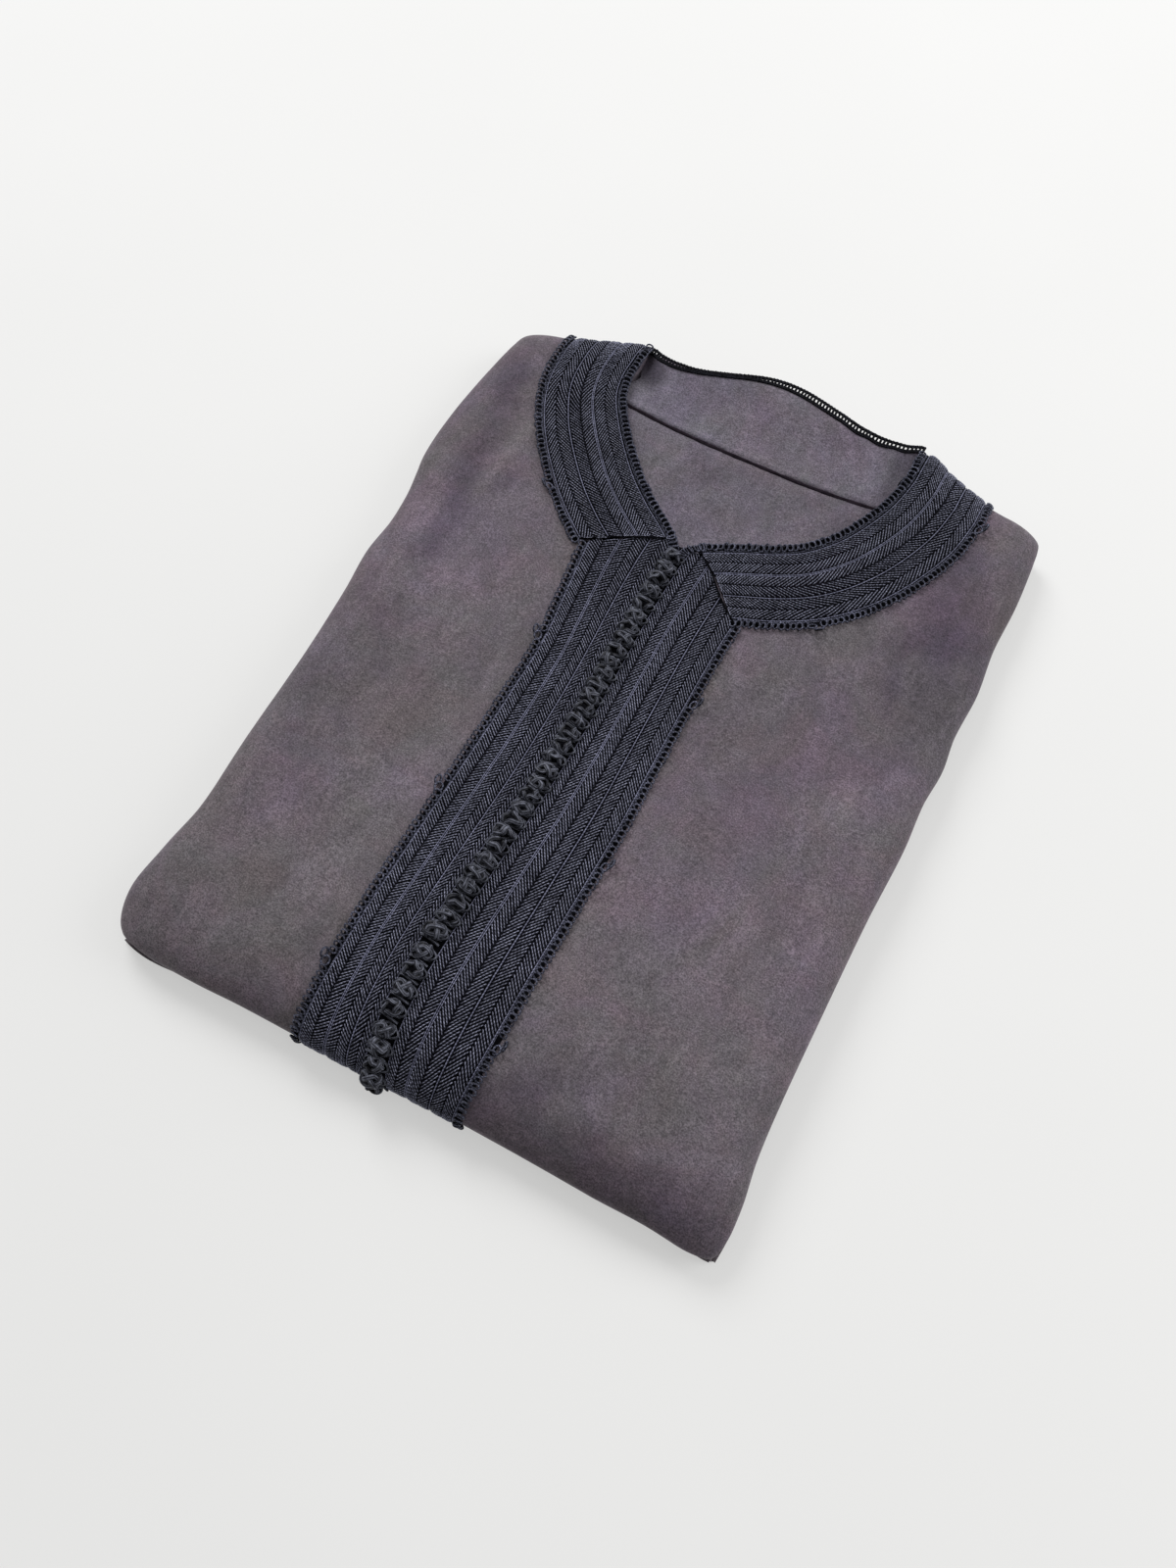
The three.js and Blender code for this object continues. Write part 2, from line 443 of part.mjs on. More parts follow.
/** Outline of the hollow under the neck, a little wider than the neck hole, as matching left and right edges. */
const HOLLOW_SPREAD = 12;     // how far the hollow runs on under the collar
const HOLLOW_ROWS = [92, 99, 106, 114, 126, 138, 150, 164, 177, 185, 196, 204, 211, 219, 227.3, 239.6, 253, 262];
function hollowEdge(curve, s, y, reach) {
  const yy = clamp(y, 90, 236), w = mix(reach, reach - HOLLOW_SPREAD - 1, smooth((yy - 196) / 22));
  const start = curve.point(0, w);
  if (start.y > yy) return mix(start.x, -11 + s * (4 + reach * 0.3), clamp((start.y - yy) / (start.y - 90), 0, 1));
  let lo = 0, hi = curve.length;
  for (let k = 0; k < 40; k += 1) { const m = (lo + hi) / 2; if (curve.point(m, w).y < yy) lo = m; else hi = m; }
  return curve.point((lo + hi) / 2, w).x;
}
function neckHollow() {
  const floorDrop = (y) => CLOTH + GAP + (BRAID + GAP + 0.2) * smooth((y - 177) / 8) + 0.15;
  const build = (z) => HOLLOW_ROWS.map((y) => {
    const xl = hollowEdge(neckRight, -1, y, HOLLOW_SPREAD), xr = hollowEdge(neckLeft, 1, y, HOLLOW_SPREAD);
    return spread(0, 1, 10).map((t) => { const x = mix(xl, xr, t); return new THREE.Vector3(x, y, z === null ? backHeight(x, Math.min(y, 250)) - floorDrop(y) : z); });
  });
  return closed(build(60), build(null));
}
const core = toManifold(hiddenLayers()).subtract(toManifold(neckHollow()));
add('hidden_layers', fromManifold(core), CLOTH_LOOK);

// inside of the back: the yoke above its seam, and the back panel below it, both running on under the collar
const backReach = HOLLOW_SPREAD - 1.6;
function backEdgeY(x) { return lookup(BACK_NECK, 'x', 'y', x); }
function backGrid(rows, columns) {
  return rows.map((v) => {
    const y0 = v.y;
    const xl = hollowEdge(neckRight, -1, y0, backReach), xr = hollowEdge(neckLeft, 1, y0, backReach);
    const pull = v.top ?? 0;
    const left = mix(xl, -94.4, pull), right = mix(xr, 81.4, pull);
    return spread(0, 1, columns).map((t) => { const x = mix(left, right, t); return [x, mix(y0, backEdgeY(x), pull)]; });
  });
}
add('back_panel', wall(backSurface, backGrid([101, 106, 114, 126, 138, 150, 164, 177, YOKE_SEAM - GAP / 2].map((y) => ({ y })), 9), -CLOTH, 0), CLOTH_LOOK);
add('back_yoke', wall(backSurface, backGrid([{ y: YOKE_SEAM + GAP / 2 }, { y: 204 }, { y: 211 }, { y: 219 }, { y: 219, top: 0.4 }, { y: 219, top: 0.7 }, { y: 219, top: 1 }], 20), -CLOTH, 0), CLOTH_LOOK);

// back collar band under the yoke, on the outside of the back, and its looped edging beyond the neck edge
const backBandGrid = (inFrom, inTo, steps, left, right, cols) => spread(inFrom, inTo, steps).map((d) => spread(left, right, cols).map((x) => [x, backEdgeY(x) - d]));
add('collar_band_back', wall(backSurface, backBandGrid(45, 0, 5, -86, 73, 12), -(CLOTH + GAP + BRAID), -(CLOTH + GAP)), BRAID_LOOK);
add('picot_neck_back', wall(backSurface, backBandGrid(-GAP * 1.5, -4.6, 1, -94.4, 81.4, 20), -EDGING, 0.2), CORD_LOOK);

// collar bands and their edgings, from the mitre over the shoulder fold
const WRAP = [FLAT_TOP, ...TOP_STATIONS.slice(0, 4), mix(TOP_STATIONS[3], TOP_STATIONS[4], 0.85)];
const inside = { w: NECK_EDGING + GAP * 1.4 }, outside = { w: OUTER_EDGING + GAP * 1.4, outer: true };
for (const [tag, curve, mitre] of [['right', neckRight, MITRE_RIGHT], ['left', neckLeft, MITRE_LEFT]]) {
  add(`collar_band_${tag}`, wall(skin, collarStrip(curve, mitre, inside, outside, 12, 3, WRAP), GAP, GAP + BRAID), BRAID_LOOK);
  add(`picot_neck_${tag}`, wall(skin, collarStrip(curve, mitre, { w: 0 }, { w: NECK_EDGING }, 12, 1, WRAP.slice(0, 3)), GAP - 0.2, GAP - 0.2 + EDGING), CORD_LOOK);
  add(`picot_collar_${tag}`, wall(skin, collarStrip(curve, mitre, { w: OUTER_EDGING, outer: true }, { w: 0, outer: true }, 12, 1, WRAP), GAP, GAP + EDGING), CORD_LOOK);
}

// placket bands: from the bottom fold up to the mitre, with the knot channel between them
const PLACKET_ROWS = [...BOTTOM_STATIONS.slice().reverse(), -194, -172, -150, -128, -104, -80, -56, -30, -4, 22, 46, 66];
function placketStrip(column, from, to, across, mitre, s) {
  const edge = (b, k) => (k.middle !== undefined ? lookup(PLACKET, 'y', 'middle', b) + k.middle : lookup(PLACKET, 'y', column, b) + k.outer);
  const grid = PLACKET_ROWS.map((b) => spread(edge(b, from), edge(b, to), across).map((a) => [a, b]));
  // the top end follows the mitre seam
  const onMitre = (x) => mix(mitre.y1, mitre.y2, (x - mitre.x1) / (mitre.x2 - mitre.x1));
  const drop = GAP * 0.75;
  for (const share of [0.5, 1]) {
    grid.push(spread(0, 1, across).map((t) => {
      const x = mix(edge(92, from), edge(92, to), t);
      const y = onMitre(x) - drop;
      return [x, mix(66, y, share)];
    }));
  }
  return wall(skin, grid, GAP, GAP + (from.cord || to.cord ? EDGING : BRAID));
}
add('placket_band_right', placketStrip('outerRight', { outer: 0 }, { middle: -CHANNEL }, 3, MITRE_RIGHT), BRAID_LOOK);
add('placket_band_left', placketStrip('outerLeft', { middle: CHANNEL }, { outer: 0 }, 3, MITRE_LEFT), BRAID_LOOK);
add('picot_placket_right', placketStrip('outerRight', { outer: -OUTER_EDGING }, { outer: -GAP, cord: true }, 1, { ...MITRE_RIGHT, y1: MITRE_RIGHT.y1 - 5.5, y2: MITRE_RIGHT.y2 - 5.5 }), CORD_LOOK);
add('picot_placket_left', placketStrip('outerLeft', { outer: GAP }, { outer: OUTER_EDGING, cord: true }, 1, { ...MITRE_LEFT, y1: MITRE_LEFT.y1 - 5.5, y2: MITRE_LEFT.y2 - 5.5 }), CORD_LOOK);

// knot buttons: one after the other down the channel and over the bottom fold
const clothLength = (b0, b1) => skin(0, b0).distanceTo(skin(0, b1));
let along = KNOT_START;
for (let k = 0; k < KNOT_COUNT; k += 1) {
  if (k > 0) {
    let step = 0;
    while (step < KNOT_PITCH) { const next = along - 0.25; step += clothLength(along, next); along = next; }
  }
  const a = lookup(PLACKET, 'y', 'middle', along);
  const bead = new THREE.SphereGeometry(1, 8, 5);
  bead.deleteAttribute('normal'); bead.deleteAttribute('uv');
  bead.rotateX(Math.PI / 2);
  bead.scale(KNOT.across / 2, KNOT.along / 2, KNOT.tall / 2);
  const geometry = finished(Array.from(bead.attributes.position.array), Array.from(bead.index.array));
  const mesh = add(`knot_${String(k + 1).padStart(2, '0')}`, geometry, KNOT_LOOK);
  const n = outward(skin, a, along), up = skin(a, along + 0.4).sub(skin(a, along - 0.4)).normalize(), right = up.clone().cross(n);
  mesh.quaternion.setFromRotationMatrix(new THREE.Matrix4().makeBasis(right, up, n));
  mesh.position.copy(lifted(skin, a, along, GAP + KNOT.tall / 2 + 0.1));
}

// the origin is the middle of the underside
garment.updateMatrixWorld(true);
const box = new THREE.Box3().setFromObject(garment), middle = box.getCenter(new THREE.Vector3());
garment.position.set(-middle.x, -middle.y, -box.min.z);

export default garment;
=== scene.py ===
import math
import random

import bpy
import numpy as np
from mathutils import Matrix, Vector


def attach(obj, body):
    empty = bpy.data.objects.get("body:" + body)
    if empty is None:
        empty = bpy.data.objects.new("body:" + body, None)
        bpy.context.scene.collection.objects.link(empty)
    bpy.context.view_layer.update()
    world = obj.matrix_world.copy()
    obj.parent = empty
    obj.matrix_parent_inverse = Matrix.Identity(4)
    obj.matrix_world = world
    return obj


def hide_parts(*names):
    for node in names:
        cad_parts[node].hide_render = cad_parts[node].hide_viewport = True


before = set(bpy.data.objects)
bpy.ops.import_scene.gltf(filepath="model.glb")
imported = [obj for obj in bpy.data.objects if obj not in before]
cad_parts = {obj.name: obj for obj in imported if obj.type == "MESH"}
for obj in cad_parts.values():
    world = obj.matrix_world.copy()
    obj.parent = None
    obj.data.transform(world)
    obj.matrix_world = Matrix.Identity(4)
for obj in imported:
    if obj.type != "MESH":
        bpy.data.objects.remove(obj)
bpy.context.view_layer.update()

# A kaftan folded flat and lying face up. Shapes are worked out in millimetres on the garment's own axes:
# +X to the wearer's left, +Y up to the neck, +Z up. OFFSET then takes them to the frame's origin.
OFFSET = np.array([6.683288, -9.414559, 0.0])
MM = 0.001

# ---- Sizes (as in the solids) ------------------------------------------------------------------------
CLOTH = 1.3
GAP = 0.3
FLAT_X, FLAT_BOTTOM, FLAT_TOP = 146.0, -194.0, 222.0
SHOULDER_ROLL, SLOPE_START = 21.0, 100.0
SIDE_ARC, BOTTOM_ARC, TOP_ARC = 47.0, 56.0, 36.0
SIDE_RIM, TOP_RIM = 0.42, 0.66
SIDE_END, TOP_END = 0.19, 0.49
UNDER = 3.0
CORE_THIN, CORE_INSET = 2.2, 2.4
NECK_EDGING, OUTER_EDGING = 5.2, 4.3
CHANNEL = 5.6
YOKE_SEAM = 192.5
HOLLOW_SPREAD = 12.0


def table(columns, *rows):
    """A short table: one name for each column, and a row of numbers for each section or fold."""
    names = columns.split()
    return {n: np.array([r[i] for r in rows], float) for i, n in enumerate(names)}


THICKNESS = table("y top", (-230, 33.5), (-120, 33), (20, 31.8), (130, 30.6), (215, 28.8), (250, 28.2))
SIDES = table(
    "y left right",
    (-235, 173, 172), (-200, 178, 171.5), (-175, 175, 168.5), (-145, 170.5, 167.6), (-100, 172, 167.8), (-40, 172.5, 168.6), (5, 175, 170.6),
    (35, 178, 169.9), (58, 176.4, 171.8), (80, 178, 170.2), (112, 184, 171.8), (150, 185, 169.8), (190, 182.6, 171), (230, 178.4, 170),
)
ENDS = table(
    "x bottom top",
    (-190, 224, 222), (-162, 225.6, 224.5), (-140, 226.4, 228.4), (-118, 226.4, 237), (-94, 225.6, 245.2), (-40, 225.6, 244), (20, 225, 243.4), (60, 225.2, 243.4),
    (83, 225.6, 247.2), (91, 225.8, 246.2), (100, 226, 241.4), (108, 226.2, 237), (134, 226, 227.5), (158, 227.6, 224.6), (190, 228.6, 222),
)
# largest folds, the same as in the solids
FOLDS = table(
    "x1 y1 x2 y2 width rise",
    (-124, 140, -140, 78, 9, 1.5), (-142, 128, -152, 60, 10, -1.4), (124, 118, 131, 20, 11, -1.6), (141, 96, 139, -10, 10, 1.1),
    (-172, 96, -120, 52, 16, -1.5), (-150, 10, -84, -40, 20, -0.9), (165, 62, 120, 66, 12, -0.8), (60, -205, 95, -170, 13, -1.0),
    (-105, -212, -120, -172, 12, -1.1), (150, -160, 100, -120, 18, -0.8),
)
# smaller creases of the top layer: soft ridges (+) and troughs (-)
CREASES = table(
    "x1 y1 x2 y2 width rise",
    (-131, 150, -136, 84, 4.2, 1.0), (-112, 176, -124, 112, 5, -0.6), (-170, 196, -156, 56, 8, 1.4), (-150, 178, -131, 44, 7.5, -1.5),
    (-150, 4, -130, -40, 6, 0.8), (-137, 6, -113, -36, 6, -0.9), (-152, -66, -152, -104, 11, 0.9), (-128, -70, -131, -108, 10, -1.0),
    (116, 124, 123, 62, 5, 1.1), (134, 122, 141, 58, 8, -1.4), (152, 128, 154, 74, 6, 0.7),
    (-140, 205, -170, 180, 6, -0.6), (-118, 216, -126, 170, 5, 0.5), (-158, 96, -130, 84, 6, -0.7), (-168, 74, -128, 60, 7, 0.6),
    (-172, 40, -130, 22, 8, -0.6), (-170, -6, -118, -30, 9, 0.5), (-171, -70, -120, -62, 10, -0.5), (-168, -128, -110, -96, 9, 0.5),
    (-170, -176, -130, -150, 8, -0.7), (-150, -214, -136, -178, 7, 0.6), (-128, -216, -120, -188, 5, -0.6), (-92, -216, -98, -184, 7, 0.5),
    (-74, -216, -70, -192, 5, -0.5), (129, 125, 128, 92, 4.2, -0.6), (137, 40, 133, 3, 5, 0.6), (112, 60, 126, -6, 9, -0.5),
    (120, 190, 150, 168, 6, -0.6), (124, 206, 158, 196, 5, 0.6), (158, 150, 140, 112, 6, -0.7), (166, 118, 150, 70, 5, 0.7),
    (168, 60, 146, 30, 5, -0.7), (167, 14, 142, -30, 6, 0.6), (166, -50, 130, -86, 8, -0.6), (165, -100, 126, -132, 7, 0.5),
    (166, -150, 138, -176, 7, -0.7), (152, -214, 142, -180, 6, 0.5), (126, -216, 118, -182, 8, -0.7), (96, -216, 88, -190, 6, 0.5),
    (70, -216, 66, -196, 5, -0.5), (52, -214, 52, -190, 5, 0.4), (84, 60, 92, -30, 18, 0.4), (64, -60, 78, -150, 16, -0.4),
    (-88, 70, -96, -20, 18, 0.4), (-80, -80, -90, -160, 16, -0.35),
)
# where the nap lies another way, the cloth reads darker (-) or lighter (+); some rows are painted shade and painted
# highlight instead, along creases and ridges, over the bottom fold and across the upper right: along soft streaks, by a
# share of its tone
NAP_AND_SHADE = table(
    "x1 y1 x2 y2 width tone",
    (-159, 188, -140, 46, 10, -0.30), (-131, 150, -134, 88, 4.5, 0.12), (-124, 110, -127, 98, 4.5, -0.16), (-150, 66, -158, 30, 8, 0.09),
    (-143, -2, -120, -38, 6, -0.13), (-122, 50, -108, 0, 12, 0.05), (-148, -70, -138, -104, 14, -0.12), (-112, -96, -84, -150, 18, 0.05),
    (-120, -170, -84, -196, 12, 0.06), (124, 120, 131, 68, 4.5, -0.17), (142, 126, 148, 60, 13, -0.09), (134, 10, 134, 0, 3.5, 0.16),
    (149, 4, 146, -14, 7, -0.08), (116, 200, 150, 124, 26, -0.27), (150, 205, 162, 170, 12, 0.06), (98, 60, 84, -40, 20, -0.05), (60, 40, 50, -60, 10, -0.03),
    (112, -60, 90, -130, 9, 0.01), (132, -40, 122, -120, 6, -0.07), (160, -216, 40, -216, 16, -0.27), (66, -186, 52, -198, 12, -0.13), (-168, 214, -120, 224, 10, -0.05),
    (-164, -205, -80, -214, 10, -0.03),
)
# the same for the back inside the neck: streaks of nap, painted shade and highlight along the gathers, and painted
# shade in the hollows under the collar at both shoulders
BACK_NAP_AND_SHADE = table(
    "x1 y1 x2 y2 width tone",
    (-92, 240, -86, 222, 9, -0.75), (-28, 162, -20, 166, 9, -0.13), (-62, 186, -40, 170, 8, 0.05), (40, 182, 72, 200, 7, -0.10), (79, 240, 80, 206, 6, -0.3),
    (64, 236, 68, 214, 2.5, -0.10), (56, 238, 61, 216, 3, 0.08), (10, 222, -40, 214, 12, 0.05), (-60, 150, -40, 128, 7, -0.05), (14, 140, 40, 152, 8, 0.06),
)
TIPS = table("x y reach spread", (-157, -224, 3.8, 24), (166, -226, 3.4, 12), (172, -205, 3, 14), (-160, 226, 3, 16))
NECK_RIGHT = table(
    "x y width",
    (-13.2, 112, 56), (-26.6, 124, 56), (-40.3, 134.6, 56), (-55.6, 148.7, 56), (-71.3, 167.1, 56), (-82.2, 182, 55.5), (-90.5, 196, 53.5),
    (-94.0, 210, 51.2), (-94.3, 224, 50), (-93.0, 241, 51),
)
NECK_LEFT = table(
    "x y width",
    (-9.4, 113.5, 54), (2, 122, 55), (17, 130, 56), (35, 138.6, 56.5), (48.9, 148.2, 56.5), (63.3, 165.6, 56), (75.7, 191.4, 55.5),
    (81.4, 214.8, 54), (82.4, 228, 53), (82.6, 242, 52.5),
)
MITRE_RIGHT = dict(x1=-17.0, y1=116.5, x2=-66.5, y2=89.5)
MITRE_LEFT = dict(x1=-4.0, y1=116.0, x2=38.3, y2=76.0)
PLACKET = table(
    "y outerRight middle outerLeft",
    (-260, -57, -12, 30), (-228, -57.5, -14, 30.5), (-190, -57.5, -18.5, 32), (-150, -57, -18.5, 33), (-100, -55.5, -15.5, 34.5),
    (-60, -54, -13, 35.5), (-20, -53, -12.2, 34.8), (20, -53, -13, 34.5), (60, -57.5, -14, 35), (92, -61.5, -13.6, 37), (118, -64, -12.2, 38.5),
)
BACK_NECK = table(
    "x y",
    (-98, 242), (-93, 240), (-88, 236.5), (-82, 234), (-75, 232.8), (-62, 234.4), (-45, 239.5), (-28, 245.2), (-10, 247.8), (10, 246),
    (30, 241), (48, 236.8), (62, 236.2), (73, 239.8), (82, 245),
)
# folded edges of the hidden layers, each a rounded lip: from and to (shares of the thickness), how far in from the rim, and how full
SIDE_LIPS = table("g0 g1 inset bulge", (0.0, 0.06, 3.6, 1.2), (0.06, 0.125, 2.4, 1.7), (0.125, 0.2, 3.6, 1.7))
TOP_LIPS = table(
    "g0 g1 inset bulge",
    (0.0, 0.085, 3.2, 1.4), (0.085, 0.17, 1.6, 1.8), (0.17, 0.235, 4.0, 1.8), (0.235, 0.315, 3.0, 1.8), (0.315, 0.40, 3.2, 1.6), (0.40, 0.475, 4.6, 2.0),
)


# ---- The skin of the folded garment --------------------------------------------------------------------
def clamp(v, lo, hi):
    return np.minimum(hi, np.maximum(lo, v))


def smooth(t):
    u = clamp(t, 0.0, 1.0)
    return u * u * (3 - 2 * u)


def mix(p, q, t):
    return p + (q - p) * t


def lookup(tab, key, column, v):
    """A column of a table at v, on a smooth curve through the rows."""
    k, c = tab[key], tab[column]
    n = len(k)
    v = clamp(np.asarray(v, float), k[0], k[-1])
    i = np.clip(np.searchsorted(k, v, side="left") - 1, 0, n - 2)
    lo, hi = np.maximum(np.arange(n) - 1, 0), np.minimum(np.arange(n) + 1, n - 1)
    slope = (c[hi] - c[lo]) / (k[hi] - k[lo])
    h = k[i + 1] - k[i]
    t = (v - k[i]) / h
    p, q, mp, mq = c[i], c[i + 1], slope[i] * h, slope[i + 1] * h
    return (2 * t**3 - 3 * t**2 + 1) * p + (t**3 - 2 * t**2 + t) * mp + (3 * t**2 - 2 * t**3) * q + (t**3 - t**2) * mq


def ridges(tab, x, y, core):
    z = 0.0
    for i in range(len(tab["x1"])):
        rise = tab["rise"][i]
        if core and rise > 0:
            continue
        x1, y1 = tab["x1"][i], tab["y1"][i]
        dx, dy = tab["x2"][i] - x1, tab["y2"][i] - y1
        u = clamp(((x - x1) * dx + (y - y1) * dy) / (dx * dx + dy * dy), 0, 1)
        d2 = (x - x1 - u * dx) ** 2 + (y - y1 - u * dy) ** 2
        width = tab["width"][i] * (1.6 if core else 1.0)
        z = z + (1.2 if core else 1.0) * rise * np.exp(-d2 / (width * width)) * (0.55 + 0.45 * np.sin(np.pi * u))
    return z


def lie(x, y):
    """The slight unevenness of soft cloth lying on itself."""
    return (
        0.16 * np.sin(x / 13.0 + 1.3 * np.sin(y / 31.0)) * np.sin(y / 19.0 + 0.8)
        + 0.12 * np.sin((x + 0.6 * y) / 9.0 + 2.0) * np.sin((y - 0.4 * x) / 14.0)
        + 0.07 * np.sin((x - 0.8 * y) / 5.1) * np.sin((y + 0.5 * x) / 7.3 + 1.0)
    )


def top_height(x, y, core=False):
    z = lookup(THICKNESS, "y", "top", y) - 1.2 * (x / 170) ** 4
    z = z - 2.6 * np.exp(-(((x + 6) / 112) ** 4) - ((y - 205) / 88) ** 4)
    z = z - 6.0 * smooth((-160 - y) / 66) + ridges(FOLDS, x, y, core)
    if not core:
        z = z + ridges(CREASES, x, y, False) + lie(x, y)
    return z


def roll(t, rim, share):
    t = np.asarray(t, float)
    q = clamp(t / share, 0, 1) * np.pi / 2
    s = np.maximum((t - share) / (1 - share), 0)
    first = t < share
    return np.where(first, np.sin(q), 1.0), np.where(first, rim + (1 - rim) * np.cos(q), rim * (1 - s)), np.where(first, 0.0, s * s)


def plan(a, b, core=None):
    """Plan place of the skin at cloth position (a, b), and its share of the full height."""
    a, b = np.broadcast_arrays(np.asarray(a, float), np.asarray(b, float))
    s = np.where(a < 0, -1.0, 1.0)
    top = b > 0
    inset = CORE_INSET if core else 0.0
    so, sg, st = roll((np.abs(a) - FLAT_X) / SIDE_ARC, SIDE_RIM, 0.75)
    bo, bg, bt = roll((FLAT_BOTTOM - b) / BOTTOM_ARC, SIDE_RIM, 0.76)
    to, tg, tt = roll((b - FLAT_TOP) / TOP_ARC, TOP_RIM, 0.72)
    bottom = b < FLAT_BOTTOM
    eo, eg, et = np.where(bottom, bo, to), np.where(bottom, bg, tg), np.where(bottom, bt, tt)
    side_inset, end_inset = np.full(a.shape, inset), np.full(a.shape, inset)
    tip = np.zeros(a.shape)
    if core:
        lip_s, lip_e = ~np.isnan(core["side_g"]), ~np.isnan(core["end_g"])
        so, sg, st = np.where(lip_s, 1.0, so), np.where(lip_s, core["side_g"], sg), np.where(lip_s, 0.0, st)
        eo, eg, et = np.where(lip_e, 1.0, eo), np.where(lip_e, core["end_g"], eg), np.where(lip_e, 0.0, et)
        side_inset = np.where(lip_s, core["side_inset"], side_inset)
        end_inset = np.where(lip_e, core["end_inset"], end_inset)
        rest = 4.0
        side_inset, end_inset = mix(rest, side_inset, smooth(eg / 0.3)), mix(rest, end_inset, smooth(sg / 0.3))
        tip = np.maximum(np.where(lip_s, core["side_tip"], 0.0), np.where(lip_e, core["end_tip"], 0.0))
        bottom = bottom | (lip_e & ~top)
    edge_x = np.where(s < 0, lookup(SIDES, "y", "left", clamp(b, -228, 240)), lookup(SIDES, "y", "right", clamp(b, -228, 240)))
    x = np.where(np.abs(a) <= FLAT_X, a, s * (FLAT_X + (edge_x - FLAT_X - side_inset) * so - UNDER * st))
    if core:
        x = np.where(lip_s, s * (edge_x - side_inset), x)
    xe = clamp(x, -185, 185)
    edge_b, edge_t = lookup(ENDS, "x", "bottom", xe), lookup(ENDS, "x", "top", xe)
    top_start = edge_t - SHOULDER_ROLL
    flat_y = np.where(b <= SLOPE_START, b, SLOPE_START + (b - SLOPE_START) * (top_start - SLOPE_START) / (FLAT_TOP - SLOPE_START))
    y = np.where(
        bottom,
        FLAT_BOTTOM - (edge_b + FLAT_BOTTOM - end_inset) * eo + UNDER * et,
        np.where((b <= FLAT_TOP) & ~(lip_e if core else False), flat_y, top_start + (SHOULDER_ROLL - end_inset) * eo - UNDER * 1.4 * et),
    )
    radius = np.where(s < 0, np.where(top, 26.0, 30.0), np.where(top, 24.0, 20.0))
    round_ = np.where(s < 0, np.where(top, 0.2, 0.36), np.where(top, 0.15, 0.42))
    ys = np.where(top, 1.0, -1.0)
    lim_x, lim_y = edge_x - side_inset, np.where(top, edge_t, edge_b) - end_inset
    i = clamp((np.abs(x) - (lim_x - radius)) / radius, 0, 1)
    j = clamp((ys * y - (lim_y - radius)) / radius, 0, 1)
    both = (i > 0) & (j > 0)
    x2 = s * (np.abs(x) - radius * i * (1 - np.sqrt(1 - round_ * j * j / 2)))
    y2 = ys * (ys * y - radius * j * (1 - np.sqrt(1 - round_ * i * i / 2)))
    x, y = np.where(both, x2, x), np.where(both, y2, y)
    share = sg * eg
    if not core:
        # low down at a corner the cloth draws in round the layers
        draw = np.where(both, i * j * smooth((0.5 - share) / 0.4), 0.0) * np.where(top, 5.5, 2.0)
        x, y = x - s * draw, y - ys * draw
        share = np.where(top, np.maximum(share, 0.2 - 0.08 * i * j), share)
    if core:
        for k in range(len(TIPS["x"])):
            d = np.hypot(x - TIPS["x"][k], y - TIPS["y"][k])
            push = tip * TIPS["reach"][k] * np.exp(-((d / TIPS["spread"][k]) ** 2))
            away = np.maximum(np.hypot(x, y * 0.75), 1.0)
            x, y = x + push * x / away, y + push * y * 0.75 / away
    return x, y, share


def skin(a, b, core=None):
    x, y, g = plan(a, b, core)
    z = (top_height(x, y, core is not None) - (CORE_THIN if core else 0.0)) * g
    return np.stack([x, y, z], axis=-1)


def nap_and_shade_colour(tab, x, y, purple=1.0):
    """The nap's tint and painted shade at plan places: a darker mark also reads a little more purple."""
    f = np.zeros(np.shape(x))
    for i in range(len(tab["x1"])):
        x1, y1 = tab["x1"][i], tab["y1"][i]
        dx, dy = tab["x2"][i] - x1, tab["y2"][i] - y1
        u = clamp(((x - x1) * dx + (y - y1) * dy) / (dx * dx + dy * dy), 0, 1)
        wave = 1 + 0.22 * np.sin(x / 5.3 + y / 9.1) + 0.18 * np.sin(y / 4.7 - x / 7.9)
        d2 = (x - x1 - u * dx) ** 2 + (y - y1 - u * dy) ** 2
        f = f + tab["tone"][i] * np.exp(-d2 / (tab["width"][i] * wave) ** 2)
    f = clamp(f, -0.8, 0.5)
    return np.stack([1 + f, 1 + (1 + 0.1 * purple) * f, 1 + (1 - 0.15 * purple) * f, np.ones(np.shape(x))], axis=-1)


def unit(v):
    return v / np.maximum(np.linalg.norm(v, axis=-1, keepdims=True), 1e-9)


def outward(a, b, h=0.4):
    du, dv = skin(a + h, b) - skin(a - h, b), skin(a, b + h) - skin(a, b - h)
    return unit(np.cross(du, dv))


def cloth_y(a, y):
    """The cloth position b whose skin point has this plan y."""
    a, y = np.broadcast_arrays(np.asarray(a, float), np.asarray(y, float))
    lo, hi = np.full(a.shape, -215.0), np.full(a.shape, FLAT_TOP + TOP_ARC * 0.71)
    for _ in range(32):
        m = (lo + hi) / 2
        below = plan(a, m)[1] < y
        lo, hi = np.where(below, m, lo), np.where(below, hi, m)
    return (lo + hi) / 2


def back_height(x, y):
    return 22.6 + 4.6 * smooth((y - 206) / 38) + 0.9 * ((x + 6) / 90) ** 2 - 0.5 * smooth((150 - y) / 40)


